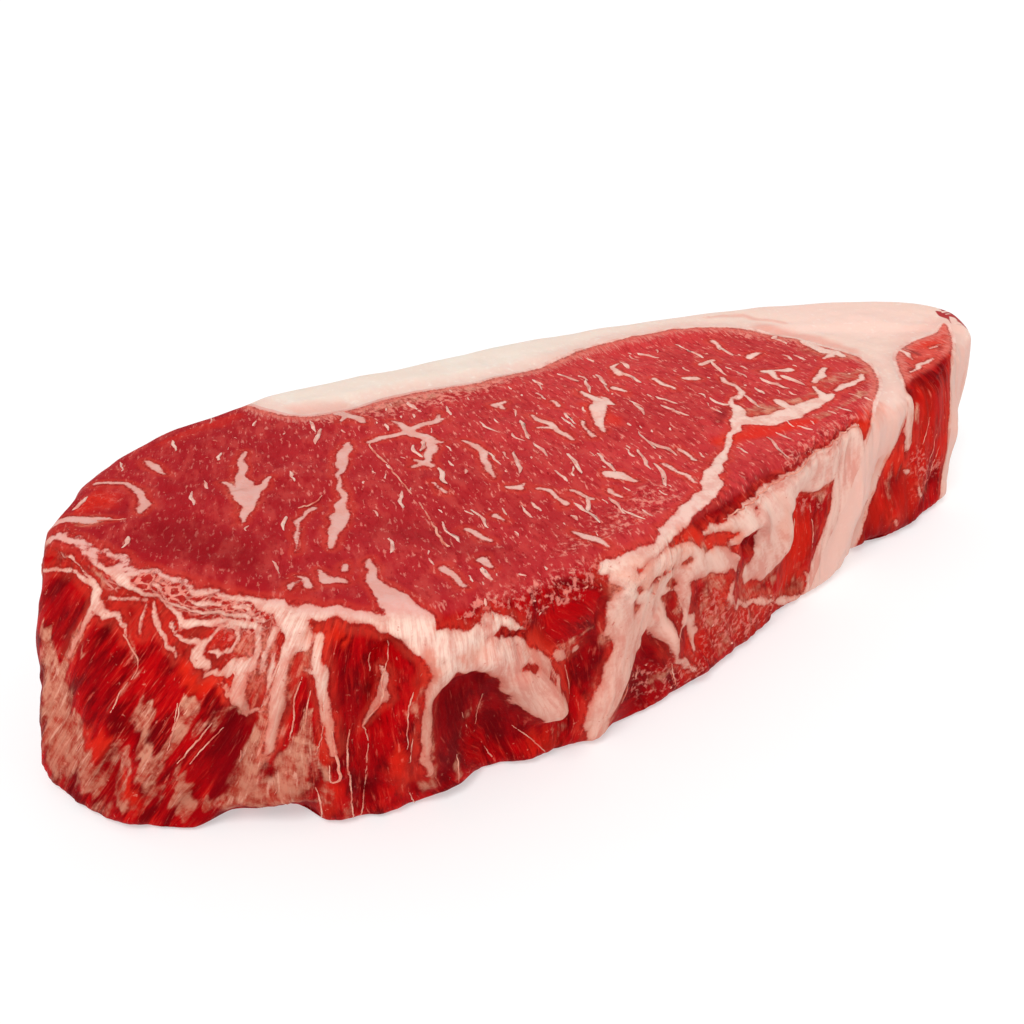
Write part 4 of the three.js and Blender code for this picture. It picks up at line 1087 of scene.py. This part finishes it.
def firm_fat(name):
    """The fat cap's own fat: its cut face, then the skin that it has on the far side."""
    sheet = Sheet(name)
    place = sheet.millimetres()
    x = sheet.parts(place)[0]
    q, v, side_share = sheet.parts(sheet.field("fibre", "Vector"))
    _, dark_lean_and_shade, glow = sheet.parts(sheet.field("tint", "Vector"))
    seam = sheet.field("cap_seam").least(sheet.field("tail_seam"))
    clouds = sheet.noise(place, 0.06, 3)
    grain = sheet.noise(place, 0.9, 4)
    pink = (seam + (clouds - 0.5) * 7 + (grain - 0.5) * 3).step(5.0, 0.0)
    # the skin: faint creases along the back, and a tinge of blood in them
    creases = sheet.streaky(q * 0.16, v * 0.5, 3.0, 5, 0.6)
    skin_clouds = sheet.streaky(q * 0.05, v * 0.09, 5.0)
    far_side = q.step(262, 300) * side_share
    colour = sheet.painted(
        sheet.mix(x.step(0, 90), shade(236, 221, 208), shade(242, 203, 189)),
        (clouds.step(0.35, 0.65) * 0.35, shade(232, 198, 180)),
        (pink * 0.5, shade(230, 172, 158)),
        (grain.step(0.55, 0.75) * 0.3, shade(250, 238, 228)),
        (glow * (0.2 + grain * 0.7), shade(224, 104, 76)),
        # blood red from the same marks: a sliver of lean on the cut face, and painted shade where the
        # side's hollows reach the fat
        ((dark_lean_and_shade + (grain - 0.5) * 0.2).step(0.25, 0.5), shade(172, 10, 18)),
        (q.step(262, 235) * side_share * 0.7, shade(228, 172, 156)),
        (skin_clouds.step(0.45, 0.65) * far_side * 0.5, shade(244, 222, 194)),
        (skin_clouds.step(0.46, 0.32) * far_side * 0.5, shade(236, 190, 176)),
        (creases.step(0.4, 0.3) * far_side * 0.35, shade(222, 150, 134)),
    )
    height = clouds * 0.9 + grain * 0.2 + creases * far_side * 0.9
    return sheet.surfaced({
        "Base Color": colour,
        "Roughness": 0.48 + (grain - 0.5) * 0.2,
        "Normal": sheet.bumpy(0.5, 0.0006, height),
        "Specular IOR Level": 0.25,
        "Subsurface Weight": 0.25,
        "Subsurface Radius": (1.0, 0.5, 0.35),
        "Subsurface Scale": 0.003,
    })


fat.data.materials.append(firm_fat("firm_fat"))
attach(fat, "root")
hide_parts("fat_cap")

# ---------------------------------------------------------------------------------------------------
# The lean inside the tail: a strip of darker, wetter muscle that the fat wraps round.

tail = carved("tail_meat", ("INTERSECT", fat_side), ("INTERSECT", tail_side))
near_red, tail_red, damp_red = shade(212, 70, 60), shade(222, 88, 76), shade(160, 20, 26)
tail.data.materials.append(flesh("tail_lean", near_red, tail_red, damp_red, 0.8))
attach(tail, "root")
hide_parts("tail_lean")

for spare in (slab, fat_side, tail_side):
    bpy.data.objects.remove(spare)

# ---------------------------------------------------------------------------------------------------
# The marbling: grains of fat from 1 to 8 mm long that lie along the bundles of muscle. The knife has
# cut through them flush, and they have stayed a hair proud of the lean beside them.


class Recipe(Sheet):
    """A Geometry Nodes tree, with a named input for each number that it is given."""

    def __init__(self, name, numbers):
        self.tree = bpy.data.node_groups.new(name, "GeometryNodeTree")
        self.numbers = numbers
        self.tree.interface.new_socket("Geometry", in_out="OUTPUT", socket_type="NodeSocketGeometry")
        self.tree.interface.new_socket("Geometry", in_out="INPUT", socket_type="NodeSocketGeometry")
        for label, value in numbers.items():
            kind = "NodeSocketInt" if isinstance(value, int) else "NodeSocketFloat"
            self.tree.interface.new_socket(label, in_out="INPUT", socket_type=kind)
        entry = self.tree.nodes.new("NodeGroupInput")
        self.given = {socket.name: Wire(self, socket) for socket in entry.outputs}

    def attribute(self, name, kind="FLOAT"):
        """A number or a vector that the mesh has at each point."""
        typed, named = {"data_type": kind}, {"Name": name}
        return self.node("GeometryNodeInputNamedAttribute", typed, named, "Attribute")

    def swayed(self, geometry, scale, amount, rise=1.0):
        """Moves each point by a smooth noise, up to half the amount, and in z that times the rise."""
        place = self.node("GeometryNodeInputPosition", {}, {})
        drift = {"Vector": place, "Scale": scale, "Detail": 2.0}
        drift = self.node("ShaderNodeTexNoise", {}, drift, "Color")
        middle = {"Vector": drift, "Vector_001": (0.5, 0.5, 0.5)}
        aside = self.node("ShaderNodeVectorMath", {"operation": "SUBTRACT"}, middle)
        reach = {"Vector": aside, "Vector_001": self.joined(amount, amount, amount * rise)}
        aside = self.node("ShaderNodeVectorMath", {"operation": "MULTIPLY"}, reach)
        return self.node("GeometryNodeSetPosition", {}, {"Geometry": geometry, "Offset": aside})

    def finish(self, geometry, material):
        """Ends the tree with a geometry that is shaded smooth and has a material."""
        rounded = self.node("GeometryNodeSetShadeSmooth", {}, {"Geometry": geometry})
        coloured = self.node("GeometryNodeSetMaterial", {}, {"Geometry": rounded, "Material": material})
        end = self.tree.nodes.new("NodeGroupOutput")
        self.tree.links.new(coloured.socket, end.inputs[0])

    def grown(self, name, mesh):
        """The piece that the tree makes from a mesh, as a plain mesh."""
        piece = bpy.data.objects.new(name, mesh)
        bpy.context.scene.collection.objects.link(piece)
        growth = piece.modifiers.new("growth", "NODES")
        growth.node_group = self.tree
        for item in self.tree.interface.items_tree:
            if item.in_out == "INPUT" and item.name in self.numbers:
                growth[item.identifier] = self.numbers[item.name]
        view = bpy.context.evaluated_depsgraph_get()
        made = bpy.data.meshes.new_from_object(piece.evaluated_get(view))
        piece.modifiers.clear()
        piece.data = made
        made.name = name
        return piece


def soft_fat(name, cream, blush):
    """Soft, moist fat in loose grains or threads, cream with clouds of blush."""
    sheet = Sheet(name)
    cloud = sheet.noise(sheet.millimetres(), 0.35, 3)
    return sheet.surfaced({
        "Base Color": sheet.mix(cloud.step(0.35, 0.65), cream, blush),
        "Roughness": 0.45,
        "Specular IOR Level": 0.2,
        "Subsurface Weight": 0.2,
        "Subsurface Radius": (1.0, 0.4, 0.3),
        "Subsurface Scale": 0.001,
    })


def scattered(name, mesh, chance, material, numbers):
    """Grains of fat along the fibres, where chance, one number for each point of the mesh, is above 0."""
    mesh = mesh.copy()
    written(mesh, "chance", chance)
    recipe = Recipe(name, numbers)
    given = recipe.given
    strewn = {
        "Mesh": given["Geometry"],
        "Distance Min": given["Spacing"],
        "Density Max": given["Per square metre"],
        "Density Factor": recipe.attribute("chance"),
        "Seed": given["Seed"],
    }
    evenly = {"distribute_method": "POISSON"}
    points = recipe.node("GeometryNodeDistributePointsOnFaces", evenly, strewn, "Points")
    upright = next(s for s in points.socket.node.outputs if s.name == "Rotation")
    turned = {"Rotation": Wire(recipe, upright), "Vector": recipe.attribute("grain", "FLOAT_VECTOR")}
    along_grain = recipe.node("FunctionNodeAlignRotationToVector", {"axis": "X", "pivot_axis": "Z"}, turned)

    def luck(low, high, number):
        sockets = {"Min_001": low, "Max_001": high, "Seed": number}
        return recipe.node("FunctionNodeRandomValue", {"data_type": "FLOAT"}, sockets, "Value_001")

    swung = recipe.joined(0.0, 0.0, luck(-1.0, 1.0, 1) * given["Swing"])
    askew = {"Rotation": along_grain, "Rotate By": swung}
    along_grain = recipe.node("FunctionNodeRotateRotation", {"rotation_space": "LOCAL"}, askew)
    share = luck(0.0, 1.0, 2) ** 2.0
    length = given["Shortest"] + (given["Longest"] - given["Shortest"]) * share
    width = (given["Thinnest"] + (given["Widest"] - given["Thinnest"]) * share) * luck(0.75, 1.3, 3)
    ball = {"Segments": given["Segments"], "Rings": given["Rings"], "Radius": 0.5}
    placed = {
        "Points": points,
        "Instance": recipe.node("GeometryNodeMeshUVSphere", {}, ball),
        "Rotation": along_grain,
        "Scale": recipe.joined(length, width, given["Depth"]),
    }
    grains = recipe.node("GeometryNodeInstanceOnPoints", {}, placed)
    grains = recipe.node("GeometryNodeRealizeInstances", {}, {"Geometry": grains})
    grains = recipe.swayed(grains, 180.0, given["Bend"], given["Rise"])
    grains = recipe.swayed(grains, 900.0, given["Raggedness"], given["Rise"])
    recipe.finish(grains, material)
    return recipe.grown(name, mesh)


lean_points, lean_fields = lean.data.vertices, lean.data.attributes
meat_place = read(lean_points, "co", 3).astype(float) / MM
meat_facing = read(lean.data.vertex_normals, "vector", 3)
meat_edge = read(lean_fields["fat"].data, "value", 1)[:, 0]
meat_seam = read(lean_fields["cap_seam"].data, "value", 1)[:, 0]
meat_round, meat_up, meat_side = read(lean_fields["fibre"].data, "vector", 3).T
clear = smooth(0.7, 1.6, meat_edge) * smooth(1.2, 2.4, meat_seam)
by_chine = 0.25 + 0.75 * smooth(-75, -20, meat_place[:, 0])
on_cut = clear * (meat_side < 0.01) * (np.abs(meat_facing[:, 2]) > 0.992) * by_chine
on_cut *= 0.35 + 0.65 * smooth(-0.9, 0.6, waves(meat_place, 22, 31))
marbling = scattered(
    "marbling", lean.data, on_cut, soft_fat("marbling_fat", shade(240, 193, 177), shade(224, 148, 134)),
    {
        "Spacing": 0.0021, "Per square metre": 90000.0, "Seed": 4, "Shortest": 0.0008, "Longest": 0.0085,
        "Thinnest": 0.0003, "Widest": 0.0008, "Depth": 0.0003, "Bend": 0.0035, "Raggedness": 0.0009,
        "Swing": 0.3, "Rise": 0.15, "Segments": 14, "Rings": 8,
    },
)
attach(marbling, "root")

# ---------------------------------------------------------------------------------------------------
# The strings: torn threads of fat and sinew, 0.1 to 0.5 mm thick, that lie on the boned side where the
# muscles were pulled off the bone. The longer ones are placed one by one, then short stray ones.

# distance round the outline, height up the side and strength at each point: a thread of strength 1 is
# about half a millimetre thick
STRINGS = [
    [(64.4, 43, 0.5), (66, 39, 0.7), (66.8, 35, 0.8), (68.2, 31, 0.9), (68.2, 28, 0.8),
     (66.8, 26, 0.6), (67.6, 24.6, 0.6), (69.4, 21, 0.6), (70.8, 16, 0.6), (72.2, 11, 0.6),
     (73.6, 5, 0.5), (74, 2, 0.3)],
    [(63, 42.6, 0.4), (62.4, 40.4, 0.5), (63.6, 38, 0.5), (64.4, 36, 0.3)],
    [(64.6, 26, 0.4), (66.4, 20, 0.7), (68.8, 14, 0.7), (71, 8, 0.6), (73, 2.4, 0.4)],
    [(64, 12, 0.5), (66.4, 8, 0.8), (68.2, 3, 0.5)],
    [(61.6, 27, 0.5), (63.6, 22.6, 0.9), (65.6, 18.6, 1), (66.6, 16.4, 1.1), (66.2, 15.2, 1),
     (65.6, 15, 0.8), (64.9, 16.6, 0.6), (64, 19, 0.4)],
    [(20.4, 35.6, 0.6), (22, 34, 0.6), (23.6, 31.6, 0.6), (23.8, 29.6, 0.5), (22.6, 27, 0.5),
     (22, 24.6, 0.5), (21.6, 23, 0.3)],
    [(40.6, 24.4, 0.4), (38.4, 20, 0.7), (36, 16, 0.4)],
    [(42.4, 23, 0.3), (40, 19, 0.5), (38, 15.6, 0.3)],
    [(53.4, 36, 0.4), (53.6, 31, 0.6), (55, 26.4, 0.6), (55.4, 22.6, 0.4)],
    [(55.6, 34, 0.3), (56.2, 30, 0.5), (57, 26.6, 0.3)],
    [(49, 38, 0.3), (49.2, 33, 0.5), (48.6, 29.6, 0.3)], [(80, 6.6, 0.4), (82.4, 2.4, 0.5)],
    [(34, 28, 0.3), (34.4, 24, 0.4), (34, 20.6, 0.2)],
    [(34.6, 30, 0.3), (34.6, 24, 0.6), (33.8, 19, 0.4)],
    [(86.4, 12, 0.4), (87.6, 8, 0.6), (88.2, 6, 0.3)],
    [(88.6, 23, 0.3), (90, 19, 0.5), (91.6, 14, 0.3)],
    [(100.6, 26, 0.3), (103, 21, 0.5), (104, 16, 0.3)], [(93.6, 10, 0.3), (97, 5, 0.5)],
    [(98, 12, 0.3), (102, 8, 0.5), (106, 3, 0.3)], [(128.8, 12, 0.4), (131, 8.4, 0.6), (132.6, 5, 0.3)],
    [(71.6, 37, 0.3), (71.8, 32, 0.5), (73.2, 26, 0.5), (75, 20, 0.3)],
    [(57.6, 34.6, 0.3), (60.4, 26, 0.4), (61.4, 20, 0.3)],
    [(134, 38.9, 0.6), (140, 38.6, 0.7), (148, 38.9, 0.7), (158, 38.7, 0.7), (170, 38.8, 0.7),
     (181, 38.7, 0.5)],
    [(162.4, 30, 0.4), (163.6, 24, 0.6), (163, 18, 0.4)],
    [(168, 26, 0.3), (169.6, 20, 0.5), (170, 14, 0.3)], [(209, 30, 0.3), (208, 24, 0.4)],
    [(214, 24, 0.3), (213, 18, 0.4), (211.6, 13, 0.3)], [(217.6, 20, 0.3), (216.6, 13, 0.4)],
]
# the same on the upper cut face: x, y and strength
CUT_STRINGS = [
    [(-41.6, 17.6, 0.5), (-42.4, 14.4, 0.7), (-42.6, 5.5, 0.7), (-43.2, -4, 0.6),
     (-43.9, -12, 0.7), (-45.3, -20, 1.1), (-45, -21.6, 0.5)],
    [(-87, 9.6, 0.4), (-90, 9.4, 0.5), (-94, 11, 0.4)],
    [(-62.6, 0.4, 0.5), (-60, 0.6, 0.5), (-57.4, 2.6, 0.3)],
]


THREAD_RADIUS = 0.24
THREAD_STEP = 0.5
lifted_side = slab_points[:side_count].reshape(SIDE_ROWS + 1, COLUMNS, 3)


def place_on_side(s, v):
    """The point of the side at a distance round the outline and a height up the side."""
    i = np.interp(s, column_s, np.arange(COLUMNS))
    first = int(i)
    spots = []
    for k in (first, first + 1):
        row = np.interp(v, side_v[:, k], np.arange(SIDE_ROWS + 1))
        low_row = min(int(row), SIDE_ROWS - 1)
        low, high = lifted_side[low_row, k], lifted_side[low_row + 1, k]
        spots.append(low + (high - low) * (row - low_row))
    return spots[0] + (spots[1] - spots[0]) * (i - first)


def place_on_cut(x, y):
    """The point of the upper cut face at a place."""
    return np.array([x, y, top_height(np.array([x]), np.array([y]))[0]])


threads, thread_edges, thread_radii = [], [], []
for place_on, paths in ((place_on_side, STRINGS), (place_on_cut, CUT_STRINGS)):
    for path in paths:
        length = np.linalg.norm(np.diff(np.array(path)[:, :2], axis=0), axis=1).sum()
        for n, (a, b, strength) in enumerate(on_path(path, 1 + int(length / THREAD_STEP))):
            if n:
                thread_edges.append((len(threads) - 1, len(threads)))
            threads.append((place_on(a, b) - CENTRE) * MM)
            thread_radii.append(strength * MM * THREAD_RADIUS)
lines = bpy.data.meshes.new("thread_lines")
lines.from_pydata([tuple(spot) for spot in threads], thread_edges, [])
written(lines, "thickness", np.array(thread_radii))

spinning = Recipe("spinning", {"Bend": 0.0008, "Sides": 8, "Raggedness": 0.0004})
curve = spinning.node("GeometryNodeMeshToCurve", {}, {"Mesh": spinning.given["Geometry"]})
curve = spinning.swayed(curve, 300.0, spinning.given["Bend"])
circle = {"Resolution": spinning.given["Sides"], "Radius": 1.0}
ring = spinning.node("GeometryNodeCurvePrimitiveCircle", {}, circle, "Curve")
tube = {"Curve": curve, "Profile Curve": ring, "Scale": spinning.attribute("thickness"), "Fill Caps": True}
tube = spinning.node("GeometryNodeCurveToMesh", {}, tube)
tube = spinning.swayed(tube, 1200.0, spinning.given["Raggedness"])
spinning.finish(tube, soft_fat("thread_fat", shade(232, 164, 142), shade(210, 104, 86)))
strings = spinning.grown("strings", lines)
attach(strings, "root")

stray = clear * (meat_side > 0.99) * (meat_up > 8) * (meat_up < 35)
stray *= (meat_round > 14) * (meat_round < 460)
stray *= smooth(-0.2, 0.8, waves(meat_place, 14, 33))
stray_strings = scattered(
    "stray_strings", lean.data, stray, soft_fat("stray_fat", shade(232, 160, 138), shade(208, 110, 92)),
    {
        "Spacing": 0.006, "Per square metre": 16000.0, "Seed": 8, "Shortest": 0.0015, "Longest": 0.009,
        "Thinnest": 0.00016, "Widest": 0.0004, "Depth": 0.0003, "Bend": 0.0025, "Raggedness": 0.0003,
        "Swing": 0.3, "Rise": 1.0, "Segments": 14, "Rings": 6,
    },
)
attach(stray_strings, "root")

# ---------------------------------------------------------------------------------------------------
# The crumbs: loose grains of soft fat, 0.5 to 2 mm long, that the knife and the fingers have left in
# the torn seams of the boned side and along the cap.

crumbled = smooth(0.15, 0.8, read(lean_fields["crumbs"].data, "value", 1)[:, 0])
crumbled *= (meat_side > 0) * (meat_up > 4)
crumbs = scattered(
    "crumbs", lean.data, crumbled, soft_fat("crumb_fat", shade(234, 172, 154), shade(214, 116, 98)),
    {
        "Spacing": 0.0018, "Per square metre": 120000.0, "Seed": 12, "Shortest": 0.0005, "Longest": 0.0018,
        "Thinnest": 0.0003, "Widest": 0.0006, "Depth": 0.0003, "Bend": 0.002, "Raggedness": 0.0008,
        "Swing": 1.5, "Rise": 1.0, "Segments": 7, "Rings": 5,
    },
)
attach(crumbs, "root")

# ---------------------------------------------------------------------------------------------------
# Where it lies: a plain pale table under soft light, seen from above the boned side.

HALF_TABLE = 40
WALL_RADIUS, WALL_HEIGHT, WALL_SIDES = 9, 6, 48

corners = [(x * HALF_TABLE, y * HALF_TABLE, 0) for x, y in ((-1, -1), (1, -1), (1, 1), (-1, 1))]
floor = body("floor", corners, [(0, 1, 2, 3)])
floor.data.materials.append(Sheet("pale_table").surfaced({
    "Base Color": (0.55, 0.55, 0.55, 1),
    "Roughness": 0.7,
    "Emission Color": (1, 1, 1, 1),
    "Emission Strength": 0.45,
}))

# a white wall round the table, which only the camera sees
turns = [math.tau * k / WALL_SIDES for k in range(WALL_SIDES)]
round_table = [(WALL_RADIUS * math.cos(turn), WALL_RADIUS * math.sin(turn)) for turn in turns]
wall_points = [(x, y, z) for z in (0, WALL_HEIGHT) for x, y in round_table]
following = [(k + 1) % WALL_SIDES for k in range(WALL_SIDES)]
wall_faces = [(k, k + WALL_SIDES, after + WALL_SIDES, after) for k, after in enumerate(following)]
backdrop = body("backdrop", wall_points, wall_faces)
backdrop.data.materials.append(Sheet("white_wall").surfaced({
    "Base Color": (0, 0, 0, 1),
    "Roughness": 1.0,
    "Emission Color": (1, 1, 1, 1),
    "Emission Strength": 1.02,
}))
backdrop.visible_diffuse = backdrop.visible_glossy = backdrop.visible_shadow = False

SKY_LIGHT = 0.6
world = bpy.data.worlds.new("studio")
bpy.context.scene.world = world
world.use_nodes = True
world.node_tree.nodes["Background"].inputs["Color"].default_value = (1, 1, 1, 1)
world.node_tree.nodes["Background"].inputs["Strength"].default_value = SKY_LIGHT
bpy.context.scene.view_settings.view_transform = "Standard"

LAMP_TOWARDS, LAMP_SPREAD, LAMP_STRENGTH = (-0.5, -0.55, 1.1), 24, 1.9
key = bpy.data.objects.new("key", bpy.data.lights.new("key", "SUN"))
key.data.angle, key.data.energy = math.radians(LAMP_SPREAD), LAMP_STRENGTH
key.rotation_euler = Vector(LAMP_TOWARDS).to_track_quat("Z", "Y").to_euler()
bpy.context.scene.collection.objects.link(key)

EYE_PLACE = np.array([-142.5, -223.6, 177.9])
LOOKING_DOWN, LOOKING_RIGHT = math.radians(30), math.radians(28.4)
eye = bpy.data.objects.new("eye", bpy.data.cameras.new("eye"))
eye.data.lens, eye.data.sensor_width = 56.25, 36
eye.data.clip_start = 0.02
eye.location = (EYE_PLACE - CENTRE) * MM
eye.rotation_euler = (math.pi / 2 - LOOKING_DOWN, 0, -LOOKING_RIGHT)
bpy.context.scene.collection.objects.link(eye)
bpy.context.scene.camera = eye

bpy.context.view_layer.update()
